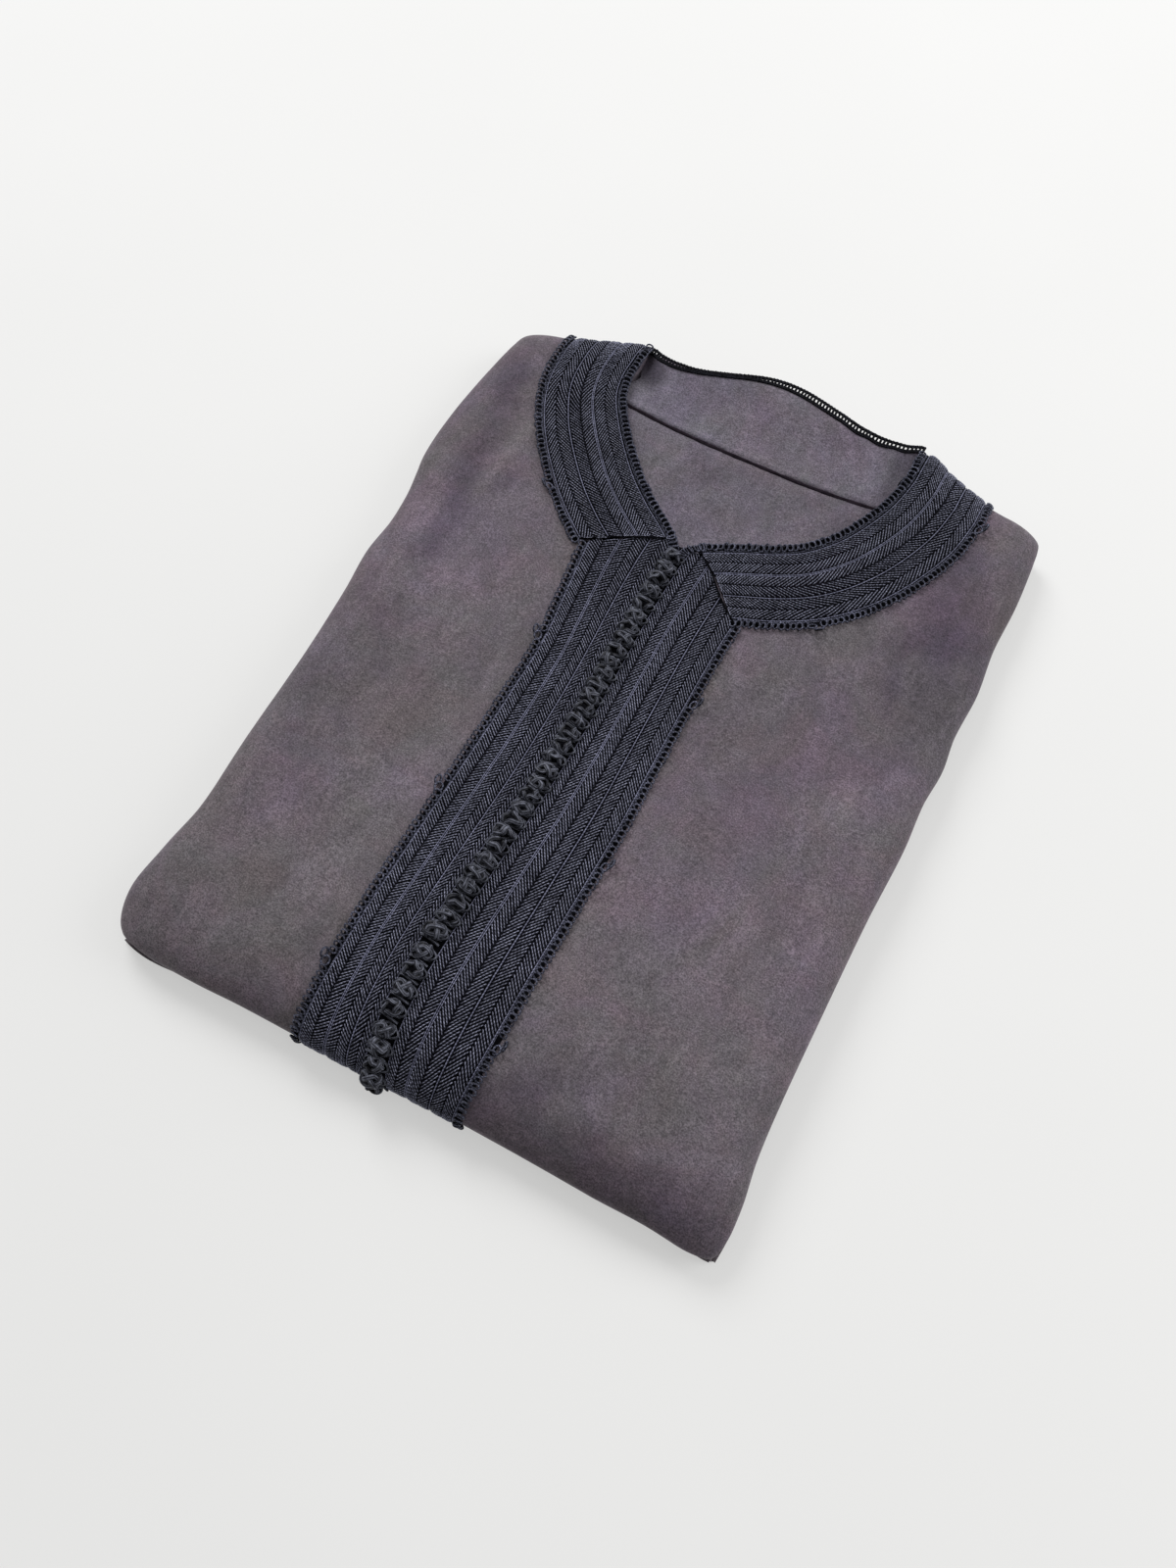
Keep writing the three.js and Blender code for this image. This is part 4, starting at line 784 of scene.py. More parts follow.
def build_layers():
    side_lips, top_lips = lip_profile(SIDE_LIPS), lip_profile(TOP_LIPS)
    nan = float("nan")
    side = [(FLAT_X + SIDE_ARC * t, nan, 0, 0, 0) for t in np.linspace(0.09, 0.75, 9)] + [(FLAT_X + SIDE_ARC, g, i, f, k) for g, i, f, k in side_lips]
    cols = [(-c[0], *c[1:]) for c in reversed(side)] + [(x, nan, 0, 0, 0) for x in np.linspace(-FLAT_X, FLAT_X, 74)] + side
    bottom = [(FLAT_BOTTOM - BOTTOM_ARC, g, i, f, k) for g, i, f, k in reversed(side_lips)]
    bottom += [(FLAT_BOTTOM - BOTTOM_ARC * t, nan, 0, 0, 0) for t in np.linspace(0.74, 0.08, 10)]
    top = [(FLAT_TOP + TOP_ARC * t, nan, 0, 0, 0) for t in np.linspace(0.08, 0.72, 8)] + [(FLAT_TOP + TOP_ARC, g, i, f, k) for g, i, f, k in top_lips]
    rows = bottom + [(y, nan, 0, 0, 0) for y in np.linspace(FLAT_BOTTOM, FLAT_TOP, 96)] + top
    col, row = np.array(cols), np.array(rows)
    a, b = np.meshgrid(col[:, 0], row[:, 0])
    side_g, end_g = np.broadcast_to(col[:, 1], a.shape), np.broadcast_to(row[:, 1][:, None], a.shape)
    # each folded edge wanders in and out by itself
    side_k, end_k = np.broadcast_to(col[:, 4], a.shape), np.broadcast_to(row[:, 4][:, None], a.shape)
    wander_s = 0.9 * np.sin(b / 47 + side_k * 2.1 + (a > 0) * 1.7) + 0.5 * np.sin(b / 19 + side_k * 4.3 + (a > 0) * 0.6)
    wander_e = 0.9 * np.sin(a / 41 + end_k * 2.6 + (b > 0) * 1.1) + 0.5 * np.sin(a / 17 + end_k * 3.7)
    core = dict(
        side_g=side_g, end_g=end_g,
        side_inset=np.broadcast_to(col[:, 2], a.shape) + wander_s * 0.8,
        end_inset=np.broadcast_to(row[:, 2][:, None], a.shape) + wander_e * 0.8,
        side_tip=np.broadcast_to(col[:, 3], a.shape) * 1.0, end_tip=np.broadcast_to(row[:, 3][:, None], a.shape) * 1.0,
    )
    p = skin(a, b, core)
    # hollow under the neck, where the back is seen
    x, y = p[..., 0], p[..., 1]
    xl, xr = hollow_edge(neck_right, -1, y, 14.0), hollow_edge(neck_left, 1, y, 14.0)
    inside = (x > xl) & (x < xr) & (y > 92)
    floor = back_height(x, np.minimum(y, 250)) - 3.9 - back_dip(x, y)
    p[..., 2] = np.where(inside & (p[..., 2] > floor), floor, p[..., 2])
    p[..., 2] = np.maximum(p[..., 2], 0)
    r, c, _ = p.shape
    idx = np.arange(r * c).reshape(r, c)
    border = np.concatenate([idx[0, :-1], idx[:-1, -1], idx[-1, :0:-1], idx[:0:-1, 0]])
    verts = np.concatenate([p.reshape(-1, 3), [[0.0, 0.0, 0.0]]])
    hub = r * c
    tris = np.stack([np.roll(border, -1), border, np.full(len(border), hub)], axis=-1)
    return make("folded_layers", verts, grid_faces(r, c), tris, sharp=75, slot="cloth", material=LAYER_MAT)


layers = build_layers()
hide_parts("hidden_layers")

# gathers and small dents of the back inside the neck
BACK_CREASES = table(
    "x1 y1 x2 y2 width rise",
    (50, 236, 58, 214, 2.8, 1.2), (58, 236, 65, 208, 2.6, -1.1), (67, 236, 71, 206, 2.6, 1.3), (75, 238, 76, 206, 2.8, -1.2), (42, 238, 54, 216, 3.2, -0.8),
    (30, 242, 42, 222, 4.0, 0.6), (12, 246, 26, 228, 5.0, -0.5), (-34, 160, -18, 168, 8, -1.0), (-22, 150, -2, 160, 8, 0.8), (20, 190, 70, 196, 7, -0.8), (-82, 230, -76, 206, 3.0, 0.7),
    (-70, 232, -68, 214, 3.0, -0.6), (-60, 182, -20, 160, 12, -0.5), (10, 178, 44, 170, 10, 0.5), (-30, 214, 10, 224, 10, 0.6), (-50, 170, -24, 140, 7, 0.4),
    (-10, 232, 24, 226, 8, -0.4),
)


# how far the yoke seam wanders from its level line
SEAM = table("x dy", (-100, 3.2), (-84, 2.4), (-60, 0.4), (-30, -1.0), (5, -1.4), (40, -0.6), (62, 0.6), (80, 1.8))


def back_skin(x, y):
    z = back_height(x, y) + ridges(BACK_CREASES, x, y, False) + 0.8 * lie(x, y)
    seam = YOKE_SEAM + lookup(SEAM, "x", "dy", x)
    z = z - 1.2 * np.exp(-(((y - seam + 1.1) / 1.7) ** 2)) + 0.7 * np.exp(-(((y - seam - 2.4) / 2.2) ** 2))
    z = z - back_dip(x, y)
    return np.stack([x, y, z], axis=-1)


def back_edge(x):
    return lookup(BACK_NECK, "x", "y", x)


def build_back(name, rows, columns, material):
    """rows: plan y, and how far the row is pulled up to the back neck edge."""
    y0, pull = np.array(rows)[:, 0:1], np.array(rows)[:, 1:2]
    reach = HOLLOW_SPREAD - 1.6
    left, right = mix(hollow_edge(neck_right, -1, y0, reach), -100.0, pull), mix(hollow_edge(neck_left, 1, y0, reach), 86.5, pull)
    x = left + (right - left) * np.linspace(0, 1, columns)[None, :]
    y = mix(np.broadcast_to(y0, x.shape), back_edge(x), np.broadcast_to(pull, x.shape))
    y = y + lookup(SEAM, "x", "dy", x) * np.exp(-(((y0 - YOKE_SEAM) / 9.0) ** 2))
    p = back_skin(x, y)
    verts, quads = closed_wall(p, p - np.array([0, 0, 0.9]))
    nap_and_shade = np.concatenate([nap_and_shade_colour(BACK_NAP_AND_SHADE, x, y, 0.1).reshape(-1, 4)] * 2)
    o = make(name, verts, quads, uv=np.concatenate([np.stack([x, y], axis=-1).reshape(-1, 2)] * 2) / 100, sharp=60, slot="cloth", material=material, nap_and_shade=nap_and_shade)
    return o


back_panel = build_back("back_panel_cloth", [(y, 0) for y in np.linspace(101, YOKE_SEAM - 0.25, 44)], 60, INSIDE_MAT)
back_yoke = build_back("back_yoke_cloth", [(y, 0) for y in np.linspace(YOKE_SEAM + 0.25, 219, 16)] + [(219, t) for t in np.linspace(0.08, 1, 14)], 84, YOKE_MAT)
# the dark line of the seam: its stitching, with painted shade in the fold beside it
seam_x = np.linspace(hollow_edge(neck_right, -1, YOKE_SEAM, HOLLOW_SPREAD - 2.4), hollow_edge(neck_left, 1, YOKE_SEAM, HOLLOW_SPREAD - 2.4), 90)
seam_p = back_skin(seam_x, YOKE_SEAM + lookup(SEAM, "x", "dy", seam_x)) + np.array([0, 0, 0.02])
seam_r = 1.2 + 0.12 * np.sin(seam_x / 3.1) + 0.08 * np.sin(seam_x / 1.3)
verts, quads, tris, uv = tube(seam_p, seam_r, 6, flat=0.55)
make("yoke_seam_and_shade_line", verts, quads, tris, uv=uv, sharp=60, slot="cloth", material=SEAM_AND_SHADE_MAT)
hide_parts("back_panel")
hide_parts("back_yoke")

# ---- Braid bands -------------------------------------------------------------------------------------------
BOTTOM_REACH = BOTTOM_STOP
HERRING_PITCH = 1.42    # from thread to thread
LIFT_GROUND, LIFT_TOP = 0.3, 1.35


class Band:
    """Rows and columns of cloth positions. s is the length along the band, t runs from 0 to 1 across it."""

    def __init__(self, a, b, s, t, extra=None):
        self.a, self.b, self.s, self.t = a, b, s, np.asarray(t, float)
        self.p, self.n = skin(a, b), outward(a, b)
        if extra is not None:
            self.p = self.p + self.n * extra[..., None]
        self.width = float(np.median(np.linalg.norm(np.diff(self.p, axis=1), axis=-1).sum(axis=1)))

    def at(self, s, t, clip=True):
        """Points and normals at lengths s and places across t."""
        s, t = np.broadcast_arrays(np.asarray(s, float), np.asarray(t, float))
        shape = s.shape
        s, t = s.ravel(), t.ravel()
        rows, cols = self.s.shape
        c = np.interp(t, self.t, np.arange(cols))
        c0 = np.clip(c.astype(int), 0, cols - 2)
        fc = (c - c0)[:, None]
        out_p, out_n = [], []
        idx = np.arange(rows)
        near = np.stack([np.interp(s, self.s[:, k], idx) for k in range(cols)], axis=0)
        for k in (c0, c0 + 1):
            r = near[k, np.arange(len(s))]
            r0 = np.clip(r.astype(int), 0, rows - 2)
            fr = (r - r0)[:, None]
            out_p.append(self.p[r0, k] * (1 - fr) + self.p[r0 + 1, k] * fr)
            out_n.append(self.n[r0, k] * (1 - fr) + self.n[r0 + 1, k] * fr)
        p = out_p[0] * (1 - fc) + out_p[1] * fc
        n = unit(out_n[0] * (1 - fc) + out_n[1] * fc)
        return p.reshape(*shape, 3), n.reshape(*shape, 3)

    def span(self, t):
        """First and last length of the band at a place across it."""
        return np.interp(t, self.t, self.s[0]), np.interp(t, self.t, self.s[-1])


def strip_lift(t, lines):
    """Height of the braid ground: crowned strips between sunk lines."""
    t = np.asarray(t, float)
    out = np.zeros(t.shape)
    for k in range(len(lines) - 1):
        u = (t - lines[k]) / (lines[k + 1] - lines[k])
        on = (u >= 0) & (u <= 1)
        crown = 1 - np.abs(2 * u - 1) ** 6
        centre = 0.22 * np.exp(-(((u - 0.5) / 0.05) ** 2))
        out = np.where(on, 0.35 + (LIFT_TOP - 0.35) * crown - centre, out)
    return out


def band_columns(lines):
    t = []
    for k in range(len(lines) - 1):
        t += [mix(lines[k], lines[k + 1], u) for u in (0, 0.05, 0.12, 0.25, 0.42, 0.5, 0.58, 0.75, 0.88, 0.95)]
    return np.array(t + [lines[-1]])


def herringbone(band, lines, ways, slopes, heap, rng, taper=0.52):
    """Diagonal threads on each strip: two columns that meet at its middle. way +1 points up the garment, -1 down."""
    for k, (way, slope) in enumerate(zip(ways, slopes)):
        stations = 9 if slope > 0.9 else 7
        step = HERRING_PITCH * math.sqrt(1 + slope * slope)
        t0, t1 = lines[k], lines[k + 1]
        middle, half = (t0 + t1) / 2, (t1 - t0) / 2
        wide = half * band.width
        lo, hi = band.span(middle)
        s0 = np.arange(lo - slope * wide, hi + slope * wide, step)
        for hand in (-1, 1):
            u = np.linspace(0.05, 0.85, stations)
            t = middle + hand * half * u
            s = s0[:, None] - way * slope * wide * u[None, :] + (0.35 * step if hand > 0 else 0.0)
            s = s + rng.normal(0, 0.10, (len(s0), 1))
            smin, smax = band.span(t)
            inside = (s > smin + 0.35) & (s < smax - 0.35)
            s = clamp(s, smin + 0.3, smax - 0.3)
            keep = inside.sum(axis=1) >= 2
            s = s[keep]
            tt = np.broadcast_to(t, s.shape)
            p, n = band.at(s, tt)
            base = strip_lift(tt, lines)
            d = unit(np.gradient(p, axis=1))
            side = unit(np.cross(n, d))
            beat = 0.62 + 0.09 * np.sin(np.arange(stations)[None, :] * 2.1 + rng.uniform(0, 6.28, (len(s), 1)))
            width = taper * (0.92 + 0.1 * rng.random((len(s), 1)))
            mid = p + n * (base + beat)[..., None]
            lef = p + n * (base - 0.12)[..., None] - side * width[..., None]
            rig = p + n * (base - 0.12)[..., None] + side * width[..., None]
            verts = np.stack([lef, mid, rig], axis=2)  # threads, stations, 3, xyz
            count = len(s)
            v = verts.reshape(-1, 3)
            run = np.concatenate([np.zeros((len(s), 1)), np.cumsum(np.linalg.norm(np.diff(p, axis=1), axis=-1), axis=1)], axis=1)
            uv = np.stack([np.repeat((run + rng.uniform(0, 1.3, (len(s), 1)))[..., None], 3, axis=2) / 10, np.broadcast_to(np.array([0.0, 0.5, 1.0]) * hand, verts.shape[:3])], axis=-1).reshape(-1, 2)
            base_i = (np.arange(count)[:, None] * stations + np.arange(stations - 1)[None, :]) * 3
            quads = []
            for i, j in ((0, 1), (1, 2), (2, 0)):
                quads.append(np.stack([base_i + i, base_i + j, base_i + 3 + j, base_i + 3 + i], axis=-1).reshape(-1, 4))
            quads = np.concatenate(quads)
            first = np.arange(count) * stations * 3
            last = first + (stations - 1) * 3
            tris = np.concatenate([np.stack([first, first + 2, first + 1], axis=-1), np.stack([last, last + 1, last + 2], axis=-1)])
            if signed_volume(v - v.mean(axis=0), quads, tris) < 0:
                quads, tris = quads[:, ::-1], tris[:, ::-1]
            heap.add(v, quads, tris, uv)


def laid_cord(band, t, radius, heap, lift=0.75, sway=0.0, step=0.8, twist=1.9, ends=(0.5, 0.5)):
    """A twisted cord laid along a band at t."""
    lo, hi = band.span(t)
    s = np.arange(lo + ends[0], hi - ends[1], step)
    p, n = band.at(s, np.full(s.shape, t) + sway * np.sin(s / 23.0))
    r = radius * (1 + 0.12 * np.sin(s * 2 * np.pi / twist))
    heap.add(*tube(p + n * lift, r, 6, up=n))


def band_piece(name, band, lines, replaces, threads_ways, slopes, seed, double=1):
    rng = np.random.default_rng(seed)
    lift = strip_lift(band.t, lines)
    outer = band.p + band.n * lift[None, :, None]
    inner = band.p + band.n * (LIFT_GROUND - 0.25)
    verts, quads = closed_wall(outer, inner)
    uv = np.concatenate([np.stack([np.broadcast_to(band.t * band.width, band.s.shape), band.s], axis=-1).reshape(-1, 2)] * 2) / 100
    ground = make(name, verts, quads, uv=uv, sharp=70, slot="braid", material=BRAID_GROUND_SHADE)
    if replaces:
        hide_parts(replaces)
    heap = Heap()
    herringbone(band, lines, threads_ways, slopes, heap, rng)
    threads = heap.build(name + "_threads", slot="braid", material=BRAID_THREAD)
    heap = Heap()
    eps = 0.5 / band.width
    for k, x in enumerate(lines):
        if k in (0, len(lines) - 1):
            laid_cord(band, x + (1.0 * eps if k == 0 else -1.0 * eps), 0.4, heap, lift=0.75)
        elif double == k:
            laid_cord(band, x - 0.95 * eps, 0.36, heap, lift=0.95)
            laid_cord(band, x + 0.95 * eps, 0.36, heap, lift=0.9)
        else:
            laid_cord(band, x, 0.4, heap, lift=0.9)
    cords = heap.build(name + "_cords", slot="braid", material=CORD_LINE)
    return ground, [threads, cords]


def placket_band(side, lines):
    """side -1: the wearer's right, from its outer edge to the channel; +1: from the channel to the wearer's left outer edge."""
    mitre = MITRE_RIGHT if side < 0 else MITRE_LEFT
    t = band_columns(lines)

    def edges(b):
        middle = lookup(PLACKET, "y", "middle", b)
        return (lookup(PLACKET, "y", "outerRight", b), middle - CHANNEL) if side < 0 else (middle + CHANNEL, lookup(PLACKET, "y", "outerLeft", b))

    rows_b = np.concatenate([np.arange(BOTTOM_REACH, FLAT_BOTTOM, 1.5), np.arange(FLAT_BOTTOM, 66, 1.8)])
    share = np.linspace(0, 1, 26)
    lo, hi = edges(rows_b)
    a = lo[:, None] + (hi - lo)[:, None] * t[None, :]
    b = np.broadcast_to(rows_b[:, None], a.shape)
    # up to the mitre seam
    lo2, hi2 = edges(92.0)
    x_end = lo2 + (hi2 - lo2) * t
    y_end = mitre["y1"] + (mitre["y2"] - mitre["y1"]) * (x_end - mitre["x1"]) / (mitre["x2"] - mitre["x1"]) + 0.5
    y_end = np.minimum(y_end, 112.5)
    bb = 66 + (y_end[None, :] - 66) * share[:, None]
    lo3, hi3 = edges(np.minimum(bb, 110.0))
    a3 = lo3 + (hi3 - lo3) * t[None, :]
    a, b = np.concatenate([a, a3]), np.concatenate([b, bb])
    # the end tucks in under the collar
    return Band(a, b, b.copy(), t, extra=-0.55 * np.exp(-(b[-1][None, :] - b) / 3.0))


def collar_band(curve, mitre, lines, w_from=NECK_EDGING + 0.42, w_to=OUTER_EDGING + 0.42, plan_rows=120, stop_b=250.1, t=None):
    """From the mitre over the shoulder fold; t runs from the neck side to the outer side."""
    t = band_columns(lines) if t is None else t

    def pick(s, u):
        px, py = curve.point(s, w_from)
        qx, qy = curve.point(s, w_to, True) if w_to is not None else curve.point(s, NECK_EDGING - 0.2)
        return px + (qx - px) * u, py + (qy - py) * u

    lo = mitre_start(curve, mitre, w_from, False, -0.2)
    hi = mitre_start(curve, mitre, w_to, True, -0.2) if w_to is not None else lo
    start = lo + (hi - lo) * t
    stops = []
    for u in t:
        s = curve.length - 0.5 * np.arange(200)
        px, py = pick(s, u)
        ok = cloth_y(px, py) <= FLAT_TOP - 2
        stops.append(s[np.argmax(ok)])
    stops = np.array(stops)
    share = np.linspace(0, 1, plan_rows)[:, None]
    v = start[None, :] + (stops - start)[None, :] * share
    x, y = pick(v, t[None, :])
    a, b = x, cloth_y(x, y)
    wrap = np.linspace(FLAT_TOP, stop_b, 18)
    a = np.concatenate([a, np.broadcast_to(a[-1], (len(wrap), a.shape[1]))])
    b = np.concatenate([b, np.broadcast_to(wrap[:, None], (len(wrap), b.shape[1]))])
    p = skin(a, b)
    extra = np.cumsum(np.linalg.norm(p[plan_rows:] - p[plan_rows - 1 : -1], axis=-1), axis=0)
    s = np.concatenate([v, v[-1][None, :] + extra])
    # the end lies over the placket band, and the fold at the shoulder stands a little proud
    return Band(a, b, s, t, extra=0.75 * np.exp(-(s - start[None, :]) / 7.0))


THIRDS = [0.0, 0.333, 0.667, 1.0]
RIGHT_LINES, LEFT_LINES = [0.0, 0.385, 0.728, 1.0], [0.0, 0.306, 0.654, 1.0]
bands = {
    "collar_band_right": (collar_band(neck_right, MITRE_RIGHT, THIRDS), THIRDS, (1, -1, 1), (1.2, 1.0, 1.3), 11),
    "collar_band_left": (collar_band(neck_left, MITRE_LEFT, THIRDS), THIRDS, (1, -1, 1), (1.1, 1.15, 1.3), 12),
    "placket_band_right": (placket_band(-1, RIGHT_LINES), RIGHT_LINES, (-1, 1, 1), (0.9, 1.0, 1.4), 13),
    "placket_band_left": (placket_band(1, LEFT_LINES), LEFT_LINES, (-1, -1, 1), (1.35, 1.55, 1.3), 14),
}
pieces = {}
for name, (band, lines, ways, slopes, seed) in bands.items():
    ground, extras = band_piece(name + "_braid", band, lines, name, ways, slopes, seed)
    pieces[name] = [ground, extras]


# back collar band: the ring carried on behind the neck, on the outside of the back
def build_back_band():
    d, x = np.linspace(45, 0.3, 40), np.linspace(-86, 73, 60)
    xx = np.broadcast_to(x[None, :], (40, 60))
    yy = back_edge(xx) - d[:, None]
    top = back_skin(xx, yy) - np.array([0, 0, 1.25])
    crown = 0.25 * np.abs(np.sin(d / 15.0 * np.pi))[:, None]
    under = top - np.stack([0 * xx, 0 * xx, 1.25 + np.broadcast_to(crown, xx.shape)], axis=-1)
    verts, quads = closed_wall(top, under)
    return make("collar_band_back_braid", verts, quads, sharp=70, slot="braid", material=BRAID_GROUND_SHADE)


back_band = build_back_band()
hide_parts("collar_band_back")

# ---- Looped edgings ----------------------------------------------------------------------------------------


def ring_template(major, minor, tube_r, around=12, sides=6):
    w = np.arange(around) * 2 * np.pi / around
    p = np.stack([major * np.cos(w), minor * np.sin(w), 0 * w], axis=-1)
    return tube(p, tube_r, sides, closed=True)


RING = ring_template(1.5, 1.95, 0.5, 14)
NECK_RING = ring_template(1.5, 2.2, 0.48, 16)
CURL = ring_template(2.2, 1.85, 0.55, 16)


class Line:
    """A path on the cloth: points, directions and normals by length."""

    def __init__(self, a, b, lift):
        p, n = skin(a, b), outward(a, b)
        self.p, self.n = p + n * lift, n
        self.s = np.concatenate([[0], np.cumsum(np.linalg.norm(np.diff(self.p, axis=0), axis=-1))])

    def at(self, s):
        p = np.stack([np.interp(s, self.s, self.p[:, k]) for k in range(3)], axis=-1)
        n = unit(np.stack([np.interp(s, self.s, self.n[:, k]) for k in range(3)], axis=-1))
        q0 = np.stack([np.interp(s - 0.8, self.s, self.p[:, k]) for k in range(3)], axis=-1)
        q1 = np.stack([np.interp(s + 0.8, self.s, self.p[:, k]) for k in range(3)], axis=-1)
        d = unit(q1 - q0)
        return p, d, n, unit(np.cross(n, d))

    def nearest(self, x, y):
        i = int(np.argmin(np.hypot(self.p[:, 0] - x, self.p[:, 1] - y)))
        return self.s[i]


def looped_edging(name, line, replaces, pitch, outside, seed, strays=(), ring=RING, cord_side=None, ends=0.7, shade_ribbon_span=(-2.1, 0.95)):
    """A chain of little loops along a line; outside is +1 or -1 for the side that the loops stand out on."""
    rng = random.Random(seed)
    heap = Heap()
    gaps = [line.nearest(x, y) for x, y in strays]
    s = ends
    while s < line.s[-1] - ends:
        if all(abs(s - g) > 3.4 for g in gaps):
            p, d, n, side = line.at(np.array(s))
            turn, lean = rng.uniform(-0.22, 0.22), rng.uniform(-0.28, 0.28)
            x = unit(d * math.cos(turn) + side * math.sin(turn))
            y = unit(side * math.cos(lean) + n * math.sin(lean) - x * float(np.dot(side, x)))
            # each loop leans on the next
            tip = rng.uniform(0.38, 0.85)
            x = unit(x * math.cos(tip) + n * math.sin(tip))
            z = unit(np.cross(x, y))
            size = rng.uniform(0.96, 1.16)
            v = place(ring[0], p + side * (rng.uniform(-0.3, 0.3) + 0.45 * outside) + n * rng.uniform(0.5, 0.8), x, y, z, size)
            heap.add(v, ring[1], ring[2], ring[3])
        s += pitch * rng.uniform(0.96, 1.04)
    for g in gaps:
        for k, (ds, out, stand) in enumerate(((-1.4, 1.6, 0.5), (1.9, 4.0, 1.1))):
            p, d, n, side = line.at(np.array(g + ds))
            y = unit(side * outside * math.cos(stand) + n * math.sin(stand))
            x = unit(np.cross(y, n) * 1.0 + d * 0.2)
            z = unit(np.cross(x, y))
            y = unit(np.cross(z, x))
            heap.add(place(CURL[0], p + side * outside * out + n * (0.7 + 0.5 * k), x, y, z, 1.12), CURL[1], CURL[2], CURL[3])
    # the cords that carry the loops
    ss = np.arange(0.6, line.s[-1] - 0.6, 0.9)
    p, d, n, side = line.at(ss)
    for off, radius, lift in ((-outside * 2.0, 0.36, -0.35),) + (((cord_side, 0.36, 0.1),) if cord_side is not None else ()):
        r = radius * (1 + 0.14 * np.sin(ss * 2 * np.pi / 1.8))
        heap.add(*tube(p + side * off + n * lift, r, 6, up=n))
    # dark ribbon behind the loops: painted shade in the loops' holes and beneath them
    ss = np.linspace(0.4, line.s[-1] - 0.4, max(8, int(line.s[-1] / 1.6)))
    p, d, n, side = line.at(ss)
    u = np.linspace(shade_ribbon_span[0], shade_ribbon_span[1], 4) * outside
    flat = p[:, None, :] + side[:, None, :] * u[None, :, None] - n[:, None, :] * 0.42
    verts, quads = closed_wall(flat, flat - n[:, None, :] * 0.25)
    make(name + "_shade_ribbon", verts, quads, sharp=60, slot="edging", material=SHADE_BLACK_MAT)
    o = heap.build(name, slot="edging", material=EDGE_MAT)
    if replaces:
        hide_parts(replaces)
    return o


def placket_edge(side, offset):
    mitre = MITRE_RIGHT if side < 0 else MITRE_LEFT
    b = np.arange(BOTTOM_REACH + 0.5, (92.5 if side < 0 else 79.0), 1.5)
    a = lookup(PLACKET, "y", "outerRight" if side < 0 else "outerLeft", b) + side * offset
    return a, b


line = Line(*placket_edge(-1, 2.15), 0.75)
looped_edging("picot_placket_right_loops", line, "picot_placket_right", 3.35, 1, 21, strays=[(-59, 24), (-58, -81), (-60, -188)])
line = Line(*placket_edge(1, 2.15), 0.75)
looped_edging("picot_placket_left_loops", line, "picot_placket_left", 3.35, -1, 22, strays=[(39, 24), (40, -81), (37, -188)])


def collar_edge(curve, mitre, w, outer, stop_b):
    t = np.array([0.0, 1.0])
    lo = mitre_start(curve, mitre, w, outer, -0.9)
    s = curve.length - 0.5 * np.arange(200)
    px, py = curve.point(s, w, outer)
    stop = s[np.argmax(cloth_y(px, py) <= FLAT_TOP - 2)]
    v = np.linspace(lo, stop, 160)
    x, y = curve.point(v, w, outer)
    wrap = np.linspace(FLAT_TOP, stop_b, 14)
    return np.concatenate([x, np.full(14, x[-1])]), np.concatenate([cloth_y(x, y), wrap])


for tag, curve, mitre, out, strays in (
    ("right", neck_right, MITRE_RIGHT, 1, [(-99, 116)]),
    ("left", neck_left, MITRE_LEFT, -1, [(76, 98), (135, 203)]),
):
    line = Line(*collar_edge(curve, mitre, 2.15, True, 249.5), 0.75)
    looped_edging(f"picot_collar_{tag}_loops", line, "picot_collar_" + tag, 3.35, out, 23 + out, strays=strays)
    line = Line(*collar_edge(curve, mitre, 2.5, False, 240.0), 0.7)
    looped_edging(f"picot_neck_{tag}_loops", line, "picot_neck_" + tag, 3.3, -out, 33 + out, ring=NECK_RING, cord_side=-out * 2.55, shade_ribbon_span=(-3.4, 2.5))


# at the front neck point the loops turn the corner
for tag, side, turn in (
    ("left", 1, [(-1.6, 117.0), (-4.6, 114.6), (-7.6, 112.0), (-9.8, 109.0), (-10.4, 105.6), (-9.8, 102.6)]),
    ("right", -1, [(-20.6, 115.0), (-17.8, 112.4), (-15.6, 109.8), (-14.4, 106.8), (-14.6, 104.6)]),
):
    turn = np.array(turn)
    line = Line(turn[:, 0], turn[:, 1], 1.75)
    looped_edging(f"picot_neck_point_{tag}_loops", line, None, 3.2, side, 51, ring=NECK_RING, shade_ribbon_span=(-2.4, 2.2), ends=0.9)

# the seams of the mitres, a dark line with a slight kink: the seam, widened as painted shade in the step where the
# collar lies over the placket
for tag, mitre in (("right", MITRE_RIGHT), ("left", MITRE_LEFT)):
    u = np.linspace(0.02, 0.99, 40)
    kink = 0.9 * np.sin(u * 7.0) * np.sin(u * np.pi)
    length = math.hypot(mitre["x2"] - mitre["x1"], mitre["y2"] - mitre["y1"])
    ex, ey = (mitre["x2"] - mitre["x1"]) / length, (mitre["y2"] - mitre["y1"]) / length
    a = mitre["x1"] + ex * length * u - ey * kink
    b = mitre["y1"] + ey * length * u + ex * kink
    p, n = skin(a, b), outward(a, b)
    verts, quads, tris, uv = tube(p + n * 2.15, 0.5 + 0.1 * np.sin(u * 90), 6, up=n, flat=0.8)
    make("mitre_seam_and_shade_" + tag, verts, quads, tris, uv=uv, sharp=60, slot="braid", material=SHADE_BLACK_MAT)


# back neck edge: a ladder of short bars between two cords, stretched open behind the neck
LADDER = table("x reach", (-101, 3.4), (-78, 3.0), (-60, 2.0), (-36, 2.2), (-16, 3.6), (10, 4.4), (40, 4.3), (70, 4.0), (91, 3.6))


